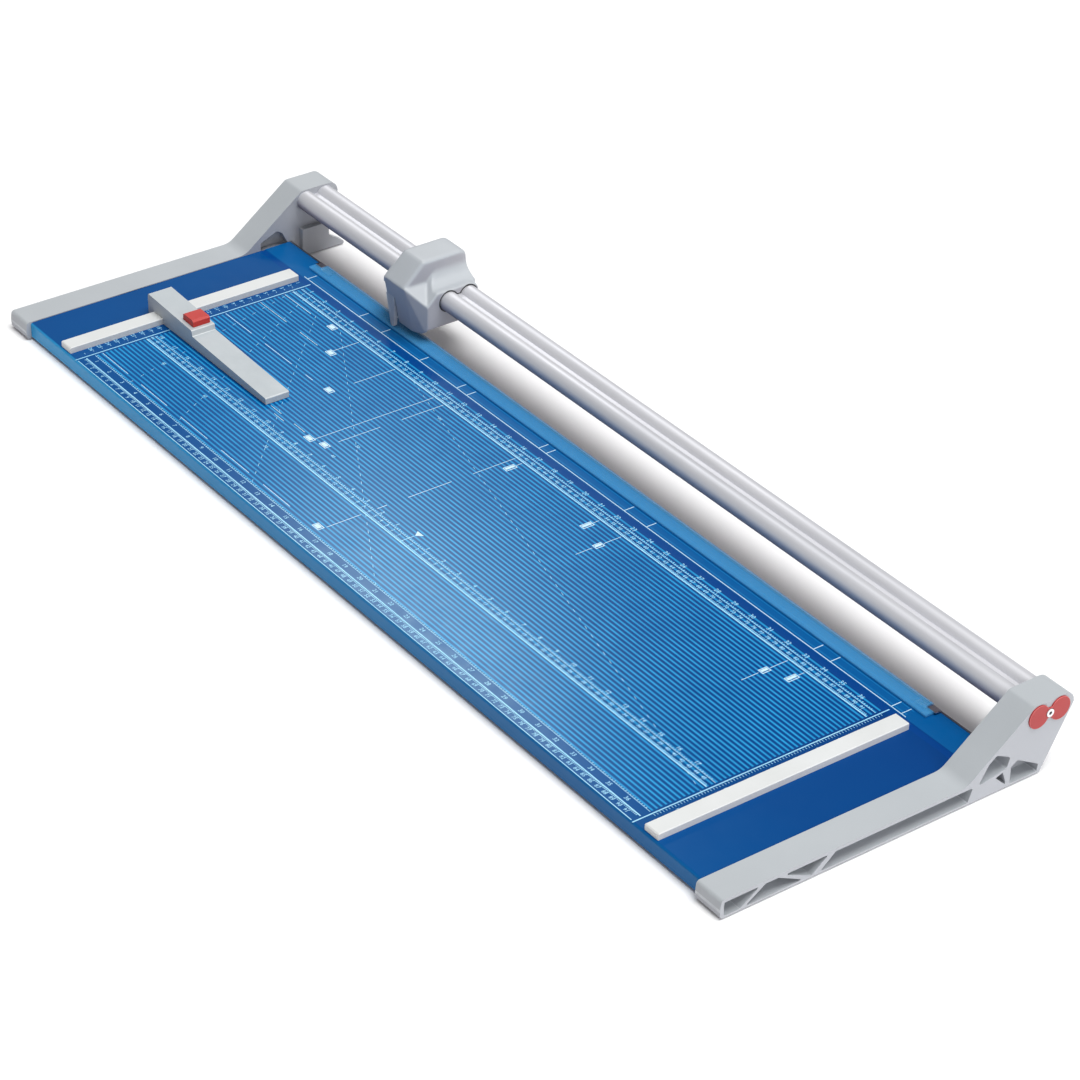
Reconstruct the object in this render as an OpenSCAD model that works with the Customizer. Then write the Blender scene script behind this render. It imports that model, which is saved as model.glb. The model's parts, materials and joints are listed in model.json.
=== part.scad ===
// Rotary paper trimmer: a long table between two end frames, a double guide
// rail over the cutting line, and a head with a round blade that runs along it.
// X runs along the cut, the operator stands at -Y, Z is up. Millimetres.

/* [Overall] */
// longest sheet edge the trimmer cuts
cut_length = 960; // [640:10:1300]
// depth of the table from its front edge to the cutting line
table_depth = 317.5; // [230:0.5:420]
// height of the table surface above the desk
table_height = 18.5; // [17:0.5:26]

/* [Table] */
// thickness of the folded table sheet
sheet_t = 1.5; // [1:0.1:2]
// depth of the raised band in front of the cutting line
band_depth = 34; // [26:1:44]
// how far that band stands above the rest of the table
band_rise = 0.6; // [0.3:0.1:1]
// thickness of the lower cutting blade
counter_blade_t = 2; // [1.5:0.1:3]
// height of the lower cutting blade
counter_blade_h = 12; // [9:0.5:14]
// width of the stiffening channel under the table
stiffener_w = 60; // [40:5:90]

/* [End frames] */
// width of each end frame along the cut
frame_t = 32; // [26:1:42]
// depth of the pockets between the ribs of each frame
pocket_depth = 15; // [10:1:18]
// how far the table reaches into each frame
table_tongue = 10; // [6:1:12]
// length of the frame foot behind the cutting line
rear_reach = 62; // [60:1:80]
// how far the rubber feet stand below the frames
foot_proud = 1; // [0.5:0.1:2]

/* [Guide rail] */
// radius of each of the two joined tubes
tube_r = 10.4; // [8.6:0.1:12.6]
// wall of the tubes
tube_wall = 2; // [1.5:0.1:2.5]
// half height of the web that joins the tubes
web_half = 4.5; // [4:0.1:6]
// radius of the screw channel in the web
channel_r = 2; // [1.6:0.1:2.4]

/* [Cutting head] */
// length of the head along the rail
head_length = 80; // [72:1:100]
// width of the grip on top of the head
grip_width = 36; // [28:1:42]
// height of the grip above the rail axis
grip_rise = 38.2; // [34:1:48]
// wall of the head housing
head_wall = 2.5; // [2:0.1:3]
// distance of the parked head from the left end of the cut
head_park = 158; // [45:1:320]
// radial running gap between the head glides and the tubes
glide_gap = 0.1; // [0.05:0.01:0.1]

/* [Blade] */
// radius of the round blade
blade_r = 25; // [21:0.5:30]
// thickness of the round blade
blade_t = 1; // [0.8:0.1:1.5]
// radius of the blade axle
axle_r = 2.5; // [2:0.1:3]
// gap between the round blade and the lower blade
shear_gap = 0.3; // [0.2:0.05:0.4]

/* [Clamp strip] */
// width of the clear strip
strip_w = 18; // [14:1:22]
// thickness of the clear strip
strip_t = 2; // [1.5:0.1:2.5]
// height the clear strip floats above the raised band
strip_float = 1.2; // [1:0.1:1.6]

/* [Paper rails] */
// width of the two alignment rails
paper_rail_w = 18; // [14:1:24]
// height of the alignment rails above the table
paper_rail_h = 6.5; // [6.5:0.5:9]

/* [Backstop] */
// width of the backstop
stop_w = 27; // [24:1:34]
// length of the raised block that sits over the rail
block_l = 86; // [80:1:100]
// length of the low arm beyond the block
arm_l = 136; // [80:1:200]
// distance of the backstop from the front edge
stop_from_front = 128; // [60:1:180]
// side of the square button
button_w = 19.5; // [16:0.5:21]
// how far the button goes down
button_travel = 2.5; // [2:0.1:3]

/* [Hidden] */
$fn = 64;
eps = 0.01;

// positions along the cut
half_cut = cut_length / 2;
frame_in = half_cut + 65.5;
frame_out = frame_in + frame_t;
strip_half = half_cut + 3;
paper_rail_x = half_cut - 2.5;
head_x = head_park - half_cut;

// positions across the cut
overall_depth = table_depth + rear_reach;
front_y = -overall_depth / 2;
cut_y = front_y + table_depth;
lip_y = front_y + 5.5;
band_y = cut_y - band_depth;
flange_y = cut_y - counter_blade_t;

// heights
band_z = table_height + band_rise;
bar_z = table_height + 1;
axle_z = table_height - 4.5 + blade_r;
hub_r = 9;
rail_z = axle_z + hub_r + 3.4 + tube_r;
tube_pitch = 2 * tube_r + 3;
tube_y = [cut_y + tube_r + 8.3, cut_y + tube_r + 8.3 + tube_pitch];
rail_y = (tube_y[0] + tube_y[1]) / 2;
strip_z = band_z + strip_float;
frame_top = rail_z + tube_r + 1.6;

// head
head_half = head_length / 2;
head_back = tube_y[1] + tube_r + 3.1;
head_nose = cut_y - 21;
skirt_z = table_height + 8;
side_z = table_height + 17.5;
glide_r = tube_r + 1.4;
glide_l = 12;
shoulder_z = rail_z + tube_r + 1.4;
grip_z = rail_z + grip_rise;
seam_x = -3;
seam_z = rail_z - 4.5;
blade_y = cut_y + shear_gap;

// backstop, measured from the left paper rail
stop_y = front_y + stop_from_front;
block_x0 = -paper_rail_x - paper_rail_w / 2 - 10.5;
block_x1 = block_x0 + block_l;
block_z = table_height + 20.6;
block_fall = 0.046;
stop_floor = table_height + 0.5;
button_x = block_x1 - 15.5;
button_y = 1.2;
coil_r = button_w / 2 - 3.6;
stem_half = coil_r - 2.2;
plate_t = 0.9;
shoe_z0 = stop_floor + plate_t + 0.2;
shoe_z1 = table_height + paper_rail_h - 0.2;
ledge_z = shoe_z1 + button_travel + 0.6;
wedge = 0.5;

// screws
table_screw_y = [front_y + 60, (front_y + cut_y) / 2, cut_y - 50];
counter_screws = 13;
paper_screws = 3;

// ---------- helpers ----------

// profile drawn in (Y, Z), pushed along X
module along_x(x0, len) {
  translate([x0, 0, 0]) rotate([90, 0, 90]) linear_extrude(len) children();
}

// profile drawn in (X, Z), pushed along Y
module along_y(y0, len) {
  translate([0, y0 + len, 0]) rotate([90, 0, 0]) linear_extrude(len) children();
}

module rod_x(x0, y, z, len, r) {
  translate([x0, y, z]) rotate([0, 90, 0]) cylinder(h = len, r = r);
}

module rod_y(x, y0, z, len, r) {
  translate([x, y0, z]) rotate([-90, 0, 0]) cylinder(h = len, r = r);
}

module block(a, b) {
  translate(a) cube(b - a);
}

module both_sides() {
  children();
  mirror([1, 0, 0]) children();
}

// points of a polygon corner turned into an arc of radius r
function unit(v) = v / norm(v);
function corner_points(p, v, q, r, n) =
  let (a = unit(p - v), b = unit(q - v))
  let (half = acos(max(-1, min(1, a * b))) / 2)
  let (c = v + unit(a + b) * r / sin(half))
  let (s = v + a * r / tan(half), e = v + b * r / tan(half))
  let (a0 = atan2(s[1] - c[1], s[0] - c[0]), a1 = atan2(e[1] - c[1], e[0] - c[0]))
  let (d = a1 - a0, turn = d > 180 ? d - 360 : (d < -180 ? d + 360 : d))
  [for (i = [0:n]) c + r * [cos(a0 + turn * i / n), sin(a0 + turn * i / n)]];

// polygon from corners given as [x, y, radius]
function rounded(c) = [for (i = [0:len(c) - 1])
  let (v = c[i], p = c[(i + len(c) - 1) % len(c)], q = c[(i + 1) % len(c)])
  each (v[2] <= 0 ? [[v[0], v[1]]] :
    corner_points([p[0], p[1]], [v[0], v[1]], [q[0], q[1]], v[2], 6))];

// two circles side by side with a web between them, as a bar along X
module figure_eight(x0, len, r, half) {
  rod_x(x0, tube_y[0], rail_z, len, r);
  rod_x(x0, tube_y[1], rail_z, len, r);
  block([x0, tube_y[0], rail_z - half], [x0 + len, tube_y[1], rail_z + half]);
}

// coil spring standing on z = 0
module coil(r, wire, height, turns) {
  steps = 20 * turns;
  sides = 8;
  rise = (height - 2 * wire) / steps;
  ring = [for (i = [0:steps]) for (k = [0:sides - 1])
    let (a = 360 * i / 20, b = 360 * k / sides, q = r + wire * cos(b))
    [q * cos(a), q * sin(a), wire + rise * i + wire * sin(b)]];
  skin = [for (i = [0:steps - 1]) for (k = [0:sides - 1])
    let (n = (k + 1) % sides, u = i * sides, w = (i + 1) * sides)
    [u + k, u + n, w + n, w + k]];
  start = [[for (k = [0:sides - 1]) sides - 1 - k]];
  finish = [[for (k = [0:sides - 1]) steps * sides + k]];
  polyhedron(ring, concat(skin, start, finish), convexity = 8);
}

// pan head screw pointing along +Z, head below
module pan_screw(r, len, head_r, head_h) {
  cylinder(h = head_h, r = head_r);
  translate([0, 0, head_h - eps]) cylinder(h = len + eps, r = r);
}

// ---------- table ----------

function sheet_profile() = rounded([
  [lip_y + 9, 1.5, 0], [lip_y + 9, 1.5 + sheet_t, 0],
  [lip_y + sheet_t, 1.5 + sheet_t, 1], [lip_y + sheet_t, table_height - sheet_t, 1],
  [band_y, table_height - sheet_t, 0], [band_y + 2, band_z - sheet_t, 0],
  [flange_y - sheet_t, band_z - sheet_t, 1], [flange_y - sheet_t, 5, 0],
  [flange_y, 5, 0], [flange_y, band_z, 0.6], [band_y + 2, band_z, 0],
  [band_y, table_height, 0], [lip_y, table_height, 2.4], [lip_y, 1.5, 2.4]]);

module paper_screw_places() {
  for (side = [-1, 1]) {
    for (i = [0:paper_screws - 1]) {
      y = front_y + 25 + i * (cut_y - front_y - 90) / (paper_screws - 1);
      translate([side * paper_rail_x, y, 0]) children();
    }
  }
}

module counter_screw_places() {
  pitch = (2 * frame_in - 60) / (counter_screws - 1);
  for (i = [0:counter_screws - 1]) {
    translate([-frame_in + 30 + i * pitch, 0, 0]) children();
  }
}

module table_plate() {
  color("royalblue") difference() {
    union() {
      along_x(-frame_in + 0.2, 2 * frame_in - 0.4) polygon(sheet_profile());
      block([-frame_in - table_tongue, lip_y + 9, table_height - sheet_t],
        [frame_in + table_tongue, band_y - 3, table_height]);
    }
    paper_screw_places() translate([0, 0, table_height - 3]) cylinder(h = 6, r = 1.7);
    counter_screw_places() rod_y(0, flange_y - 4, 9, 8, 1.5);
    both_sides() for (y = table_screw_y) {
      translate([frame_in + 5, y, table_height - 3]) cylinder(h = 6, r = 1.6);
    }
  }
}

module table_stiffener() {
  y = (front_y + cut_y) / 2;
  top = table_height - sheet_t;
  outer = [[y - stiffener_w / 2 - 12, top], [y - stiffener_w / 2 - 12, top - 1.5],
    [y - stiffener_w / 2, top - 1.5], [y - stiffener_w / 2, 3], [y + stiffener_w / 2, 3],
    [y + stiffener_w / 2, top - 1.5], [y + stiffener_w / 2 + 12, top - 1.5],
    [y + stiffener_w / 2 + 12, top], [y + stiffener_w / 2 - 1.5, top],
    [y + stiffener_w / 2 - 1.5, 4.5], [y - stiffener_w / 2 + 1.5, 4.5],
    [y - stiffener_w / 2 + 1.5, top]];
  color("silver") along_x(-frame_in + 8, 2 * frame_in - 16) polygon(outer);
}

module counter_blade() {
  color("dimgray") difference() {
    block([-frame_in + 0.3, flange_y, band_z - counter_blade_h], [frame_in - 0.3, cut_y, band_z]);
    counter_screw_places() {
      rod_y(0, flange_y - 1, 9, 4, 1.5);
      translate([0, cut_y - 1.3, 9]) rotate([-90, 0, 0]) cylinder(h = 1.4, r1 = 1.5, r2 = 2.9);
    }
  }
}

module counter_blade_screws() {
  color("lightgray") counter_screw_places() {
    rod_y(0, flange_y - 5, 9, counter_blade_t + 3.7, 1.45);
    translate([0, cut_y - 1.3, 9]) rotate([-90, 0, 0]) cylinder(h = 1.25, r1 = 1.45, r2 = 2.75);
  }
}

// ---------- clear clamp strip ----------

module clamp_strip() {
  y1 = cut_y - 0.5;
  y0 = y1 - strip_w;
  color("lightcyan", 0.6) difference() {
    along_x(-strip_half, 2 * strip_half) polygon([[y0, strip_z], [y1, strip_z],
      [y1, strip_z + strip_t - 0.6], [y1 - 0.8, strip_z + strip_t],
      [y0 + 0.8, strip_z + strip_t], [y0, strip_z + strip_t - 0.6]]);
    both_sides() {
      block([strip_half - 10, y1 - strip_w / 2, strip_z - 1],
        [strip_half + 1, y1 + 1, strip_z + strip_t + 1]);
      block([strip_half - 26, y1 - strip_w / 2 - 3, strip_z - 1],
        [strip_half - 9, y1 - 1, strip_z + 0.9]);
    }
  }
}

// spring tab riveted to the table, it carries one end of the strip
module strip_spring() {
  y1 = cut_y - 1.8;
  y0 = y1 - strip_w / 2 + 1.2;
  color("silver") {
    block([strip_half - 24, y0 + 0.5, band_z], [strip_half - 12, y1 - 0.3, band_z + 0.6]);
    along_y(y0 + 0.5, y1 - y0 - 0.8) polygon([[strip_half - 12.5, band_z],
      [strip_half - 9, band_z], [strip_half - 7.8, band_z + 1.9],
      [strip_half + 2, band_z + 1.9], [strip_half + 2, band_z + 2.6],
      [strip_half - 8.2, band_z + 2.6], [strip_half - 9.6, band_z + 0.6],
      [strip_half - 12.5, band_z + 0.6]]);
  }
}

module strip_spring_right() { strip_spring(); }
module strip_spring_left() { mirror([1, 0, 0]) strip_spring(); }

// ---------- end frames ----------

function frame_profile() = rounded([
  [front_y + 1, foot_proud, 3], [front_y, 9, 12], [front_y + 1.2, bar_z, 3.5],
  [cut_y - 57.5, bar_z, 20], [cut_y + 14, frame_top, 7], [head_back + 1.5, frame_top, 11],
  [head_back + 3, rail_z, 4], [cut_y + 27, foot_proud, 2]]);

function toe_profile() = rounded([
  [cut_y + 10, foot_proud, 0], [cut_y + rear_reach, foot_proud, 1.2],
  [cut_y + rear_reach - 1.5, foot_proud + 4, 1.5], [cut_y + 43, table_height - 2.5, 3],
  [cut_y + 43, rail_z - 30, 0], [cut_y + 10, rail_z - 30, 0]]);

// ribbed outer side of the bar: three leaning ribs, then one long channel
function bar_pockets() = let (t = bar_z - 2.8, b = foot_proud + 2) [
  rounded([[front_y + 4, b, 1], [front_y + 4, t, 1.5], [front_y + 40.5, t, 1], [front_y + 20.5, b, 1]]),
  rounded([[front_y + 25.5, b, 1], [front_y + 46.5, t, 1], [front_y + 59.5, t, 1], [front_y + 86.5, b, 1]]),
  rounded([[front_y + 65.5, t, 1], [front_y + 94.5, b, 1], [front_y + 112.5, t, 1]]),
  rounded([[front_y + 103.5, b, 1], [front_y + 119.5, t, 1.5], [cut_y - 49, t, 1.5],
    [cut_y - 54, b, 1]])];

// pockets under the slope that rises to the guide rail
function slope_pockets() = let (t = bar_z) [
  rounded([[cut_y - 44, t - 4, 2], [cut_y - 33, rail_z - 28, 3], [cut_y - 25, rail_z - 22, 3],
    [cut_y - 9, rail_z - 30, 3], [cut_y - 12, t + 2, 2]]),
  rounded([[cut_y - 7, t + 1, 1.5], [cut_y, rail_z - 37, 2], [cut_y + 25, t - 9, 1.5],
    [cut_y + 24, foot_proud + 2, 1], [cut_y - 7, foot_proud + 2, 1]]),
  rounded([[cut_y - 24, t - 3.5, 0.8], [cut_y - 16, t - 1, 0.8], [cut_y - 10.5, foot_proud + 2, 0.8]])];

// hollow on the inner side where the table runs into the frame
function arch_profile() = rounded([
  [cut_y - 38, bar_z - 4, 1], [cut_y - 38, bar_z + 8, 2], [cut_y - 18, bar_z + 16.5, 3],
  [cut_y - 11, bar_z + 12, 3], [cut_y - 3, bar_z - 4, 1]]);

module end_frame() {
  color("gainsboro") difference() {
    union() {
      along_x(frame_in, frame_t) polygon(frame_profile());
      along_x(frame_in - 6.5, 8) polygon(toe_profile());
    }
    for (p = bar_pockets()) along_x(frame_out - pocket_depth, pocket_depth + 1) polygon(p);
    for (p = slope_pockets()) along_x(frame_out - pocket_depth, pocket_depth + 1) polygon(p);
    block([frame_in - 1, lip_y + 8, table_height - sheet_t - 0.1],
      [frame_in + table_tongue + 0.5, band_y - 2, table_height + 0.1]);
    along_x(frame_in - 1, table_tongue + 1) polygon(arch_profile());
    figure_eight(frame_in - 1, frame_t + 2, tube_r + 0.05, web_half + 0.05);
    figure_eight(frame_out - 1.5, 3, tube_r + 0.95, web_half + 0.6);
    for (y = table_screw_y) translate([frame_in + 5, y, 0]) {
      cylinder(h = 6, r = 3.4);
      cylinder(h = table_height, r = 1.7);
    }
    for (y = [front_y + 22, cut_y + 12]) translate([frame_in + 9, y, 0]) {
      cylinder(h = foot_proud + 2, r = 6);
    }
  }
}

module end_frame_right() { end_frame(); }
module end_frame_left() { mirror([1, 0, 0]) end_frame(); }

module rubber_feet() {
  color("black") both_sides() for (y = [front_y + 22, cut_y + 12]) {
    translate([frame_in + 9, y, 0]) {
      cylinder(h = 0.6, r1 = 5.2, r2 = 5.8);
      translate([0, 0, 0.6]) cylinder(h = foot_proud + 1.4, r = 5.8);
    }
  }
}

module table_screws() {
  color("lightgray") both_sides() for (y = table_screw_y) {
    translate([frame_in + 5, y, 3]) pan_screw(1.55, table_height - 6, 3, 3);
  }
}

// ---------- guide rail ----------

module guide_rail() {
  len = 2 * frame_out - 6;
  color("lightsteelblue") difference() {
    figure_eight(-len / 2, len, tube_r, web_half);
    rod_x(-len / 2 - 1, tube_y[0], rail_z, len + 2, tube_r - tube_wall);
    rod_x(-len / 2 - 1, tube_y[1], rail_z, len + 2, tube_r - tube_wall);
    rod_x(-len / 2 - 1, rail_y, rail_z, len + 2, channel_r);
  }
}

module end_cap() {
  color("indianred") difference() {
    figure_eight(frame_out - 1.5, 3, tube_r + 0.8, web_half + 0.45);
    rod_x(frame_out - 2, rail_y, rail_z, 4, channel_r + 0.4);
    rod_x(frame_out + 0.1, rail_y, rail_z, 2, 4.2);
  }
}

module end_cap_right() { end_cap(); }
module end_cap_left() { mirror([1, 0, 0]) end_cap(); }

module rail_screw() {
  color("whitesmoke") difference() {
    union() {
      rod_x(frame_out - 18, rail_y, rail_z, 18.2, channel_r - 0.05);
      rod_x(frame_out + 0.1, rail_y, rail_z, 2, 3.9);
    }
    rod_x(frame_out + 0.7, rail_y, rail_z, 2, 1.9, $fn = 6);
  }
}

module rail_screw_right() { rail_screw(); }
module rail_screw_left() { mirror([1, 0, 0]) rail_screw(); }

// ---------- paper rails ----------

module paper_rail() {
  w = paper_rail_w / 2;
  z = table_height;
  y0 = front_y + 8;
  len = cut_y - 40.5 - y0;
  color("white") difference() {
    along_y(y0, len) polygon([[paper_rail_x - w, z], [paper_rail_x + w, z],
      [paper_rail_x + w, z + paper_rail_h - 0.6], [paper_rail_x + w - 0.6, z + paper_rail_h],
      [paper_rail_x - w + 0.6, z + paper_rail_h], [paper_rail_x - w, z + paper_rail_h - 0.6]]);
    along_x(paper_rail_x - w - 1, 2 * w + 2) polygon([[y0 - 1, z + paper_rail_h - 1.8],
      [y0 + 1.8, z + paper_rail_h + 0.5], [y0 - 1, z + paper_rail_h + 0.5]]);
    paper_screw_places() translate([0, 0, z - 1]) cylinder(h = 5, r = 1.5);
  }
}

module paper_rail_right() { paper_rail(); }
module paper_rail_left() { mirror([1, 0, 0]) paper_rail(); }

module paper_rail_screws() {
  color("lightgray") paper_screw_places() {
    translate([0, 0, table_height - sheet_t - 1.6]) pan_screw(1.45, 5, 2.8, 1.6);
  }
}

// ---------- cutting head ----------

// side view of the grip: flat top, slope to the nose, front leaning back
function grip_profile(i) = rounded([
  [head_nose + 9.2 + i, skirt_z - 3 * i, 0], [head_nose + i, rail_z + 15 - i, 2.5],
  [head_nose + 24 + i, grip_z - i, 6], [head_back - i, grip_z - i, 7],
  [head_back - i, skirt_z - 3 * i, 0]]);

// side view of the waist between the grip and the shoulders
function waist_profile(i) = [
  [cut_y - 7 + i, side_z], [cut_y - 7 + i, rail_z + 0.7 - i], [cut_y + 5 + i, shoulder_z + 1.4 - i],
  [cut_y + 14 + i, shoulder_z + 10.4 - i], [cut_y + 22 + i, grip_z - i],
  [head_back - i, grip_z - i], [head_back - i, side_z]];

function shoulder_profile(i) = rounded([
  [cut_y - 7 + i, side_z - 3 * i, 0], [cut_y - 7 + i, rail_z + 0.5 - i, 2],
  [cut_y + 5 + i, shoulder_z + 0.6 - i, 3], [head_back - i, shoulder_z + 0.6 - i, 11 - i],
  [head_back - i, rail_z - 10, 6], [head_back - 16 - i, side_z - 3 * i, 3]]);

// front view of the waist: one side of the curve from the grip down to a shoulder
function flare(side, i) = [for (k = [0:8]) let (t = k / 8)
  [side * (grip_width / 2 - i + 16 * pow(t, 3)), grip_z - 1.1 * i - (grip_z - shoulder_z) * pow(t, 0.8)]];

module waist_outline(i) {
  right = flare(1, i);
  polygon(concat(
    [for (k = [8:-1:0]) flare(-1, i)[k]], right,
    [[right[8][0], side_z], [-right[8][0], side_z]]));
}

// front view of everything below the shoulders: the skirt sweeps up to the right end
module skirt_outline(i) {
  w = head_half - i;
  low = skirt_z - 3 * i;
  polygon([[-w, low], [-w, grip_z], [w, grip_z], [w, side_z - 3 * i], [w - 2, low + 7],
    [w - 7, low + 3.5], [w - 14, low + 1], [w - 24, low]]);
}

// front corner beside the grip: it turns from the leaning nose to the upright end face
module head_corner(side, end_y, i) {
  inner = grip_width / 2 - i - 0.5;
  outer = head_half - i;
  low = skirt_z - 3 * i;
  hull() {
    along_x(side * inner - eps / 2, eps) polygon([[head_nose + 9.2 + i, low],
      [head_nose + i, rail_z + 15 - i], [head_nose + 1 + i, rail_z + 16 - i],
      [cut_y + 4, rail_z + 16 - i], [cut_y + 4, low]]);
    along_x(side * (outer - eps / 2) - eps / 2, eps) polygon([[end_y + i, low],
      [end_y + i, rail_z - i], [cut_y + 4, rail_z - i], [cut_y + 4, low]]);
  }
}

module head_mass(i) {
  grip = grip_width / 2 - i;
  wide = head_half - i;
  intersection() {
    along_y(head_nose - 2, head_back + 4 - head_nose) skirt_outline(i);
    union() {
      along_x(-grip, 2 * grip) polygon(grip_profile(i));
      along_x(-wide, 2 * wide) polygon(shoulder_profile(i));
      intersection() {
        along_x(-wide, 2 * wide) polygon(waist_profile(i));
        along_y(head_nose, head_back - head_nose) waist_outline(i);
      }
      head_corner(1, cut_y - 7, i);
      head_corner(-1, cut_y + 3, i);
    }
  }
}

module head_housing() {
  color("gainsboro") translate([head_x, 0, 0]) difference() {
    union() {
      difference() {
        head_mass(0);
        head_mass(head_wall);
      }
      both_sides() intersection() {
        along_x(head_half - glide_l - 1, glide_l) polygon(shoulder_profile(1));
        block([0, cut_y + 3, rail_z - tube_r - 3], [head_half, head_back, shoulder_z]);
      }
      for (side = [-1, 1]) rod_y(side * 14, head_nose + 3, rail_z + 4, cut_y - 9 - head_nose - 3, 3.6);
    }
    // open underneath, behind the front skirt
    block([-head_half + head_wall, cut_y - 9, skirt_z - 12],
      [head_half - head_wall, head_back - head_wall, side_z + 4]);
    // nothing hangs below the ends of the housing behind the cutting line
    block([-head_half - 1, cut_y - 6.9, skirt_z - 12], [head_half + 1, head_back + 1, side_z]);
    // place of the pressure shoe and the seam beside it
    block([-head_half - 1, head_nose - 3, skirt_z - 12], [seam_x, cut_y - 2, seam_z]);
    figure_eight(-head_half - 1, head_length + 2, glide_r + 0.05, web_half + 1.4);
    for (side = [-1, 1]) rod_y(side * 14, cut_y - 16, rail_z + 4, 8, 1.35);
  }
}

module head_glide() {
  color("dimgray") translate([head_x, 0, 0]) difference() {
    figure_eight(head_half - glide_l, glide_l, glide_r, web_half + 1.3);
    figure_eight(head_half - glide_l - 1, glide_l + 2, tube_r + glide_gap, web_half + 0.3);
  }
}

module head_glide_right() { head_glide(); }
module head_glide_left() {
  translate([2 * head_x, 0, 0]) mirror([1, 0, 0]) head_glide();
}

module blade_carrier() {
  color("darkgray") translate([head_x, 0, 0]) difference() {
    union() {
      along_y(cut_y - 9, 5) polygon(rounded([[-19, axle_z - 9, 4], [19, axle_z - 9, 4],
        [19, rail_z + 9, 3], [-19, rail_z + 9, 3]]));
      rod_y(0, cut_y - 4.1, axle_z, 1.1, 6);
    }
    rod_y(0, cut_y - 12, axle_z, 14, axle_r + 0.03);
    for (side = [-1, 1]) rod_y(side * 14, cut_y - 12, rail_z + 4, 14, 1.6);
  }
}

module carrier_screws() {
  color("lightgray") translate([head_x, 0, 0]) for (side = [-1, 1]) {
    translate([side * 14, cut_y - 1.8, rail_z + 4]) rotate([90, 0, 0]) pan_screw(1.3, 11, 2.8, 2.2);
  }
}

// tongue in front of the carrier that holds the clear strip down
module pressure_shoe() {
  y0 = cut_y - 17;
  color("gainsboro") translate([head_x, 0, 0]) {
    along_y(y0, 4) polygon(rounded([[seam_x - 2.5, strip_z + strip_t + 0.3, 2],
      [seam_x - 1.5, seam_z - 0.4, 0], [-grip_width / 2 - 1.5, seam_z - 0.4, 1],
      [-grip_width / 2 + 2.5, seam_z - 16, 6], [-11, strip_z + strip_t + 0.3, 2]]));
    block([-16, y0 + 3.9, seam_z - 14], [-7.5, cut_y - 9, seam_z - 2]);
  }
}

module blade_axle() {
  color("silver") translate([head_x, 0, 0]) {
    rod_y(0, cut_y - 11.2, axle_z, 2.2, 4.5);
    rod_y(0, cut_y - 9.01, axle_z, 23.01, axle_r);
  }
}

module blade_hub() {
  color("slategray") translate([head_x, 0, 0]) difference() {
    union() {
      rod_y(0, cut_y - 2.7, axle_z, 2.7 + shear_gap, hub_r);
      rod_y(0, blade_y - eps, axle_z, blade_t + 1.5, 5);
    }
    rod_y(0, cut_y - 4, axle_z, 10, axle_r + 0.05);
  }
}

module round_blade() {
  color("whitesmoke") translate([head_x, blade_y, axle_z]) rotate([-90, 0, 0]) difference() {
    rotate_extrude($fn = 128) polygon([[5.03, 0], [blade_r, 0], [blade_r - 1.8, blade_t], [5.03, blade_t]]);
    for (a = [0:120:240]) rotate(a) translate([blade_r * 0.58, 0, -1]) cylinder(h = blade_t + 2, r = 2);
  }
}

module blade_clamp_ring() {
  color("slategray") translate([head_x, 0, 0]) difference() {
    rod_y(0, blade_y + blade_t, axle_z, 2.5, hub_r - 1);
    rod_y(0, blade_y + blade_t - 1, axle_z, 2.5, 5.03);
    rod_y(0, blade_y, axle_z, 10, axle_r + 0.05);
  }
}

module blade_spring() {
  color("silver") translate([head_x, blade_y + blade_t + 2.8, axle_z]) rotate([-90, 0, 0])
    coil(4.2, 0.5, cut_y + 10.6 - blade_y - blade_t - 2.8, 4);
}

module blade_nut() {
  color("silver") translate([head_x, 0, 0]) difference() {
    union() {
      rod_y(0, cut_y + 10.7, axle_z, 0.8, 5.6);
      rod_y(0, cut_y + 11.5, axle_z, 2.2, 4.4, $fn = 6);
    }
    rod_y(0, cut_y + 10, axle_z, 5, axle_r + 0.02);
  }
}

// ---------- backstop ----------

module stop_outline() {
  x2 = block_x1 + arm_l;
  arm_z = table_height + 12.6;
  polygon(rounded([[block_x0, stop_floor, 0], [block_x0, block_z + 2, 2],
    [block_x1 - 1.5, block_z + 2 - block_fall * block_l, 1.2], [block_x1, arm_z, 0.8],
    [x2, table_height + 7.2, 1.2], [x2, stop_floor, 0]]));
}

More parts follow.
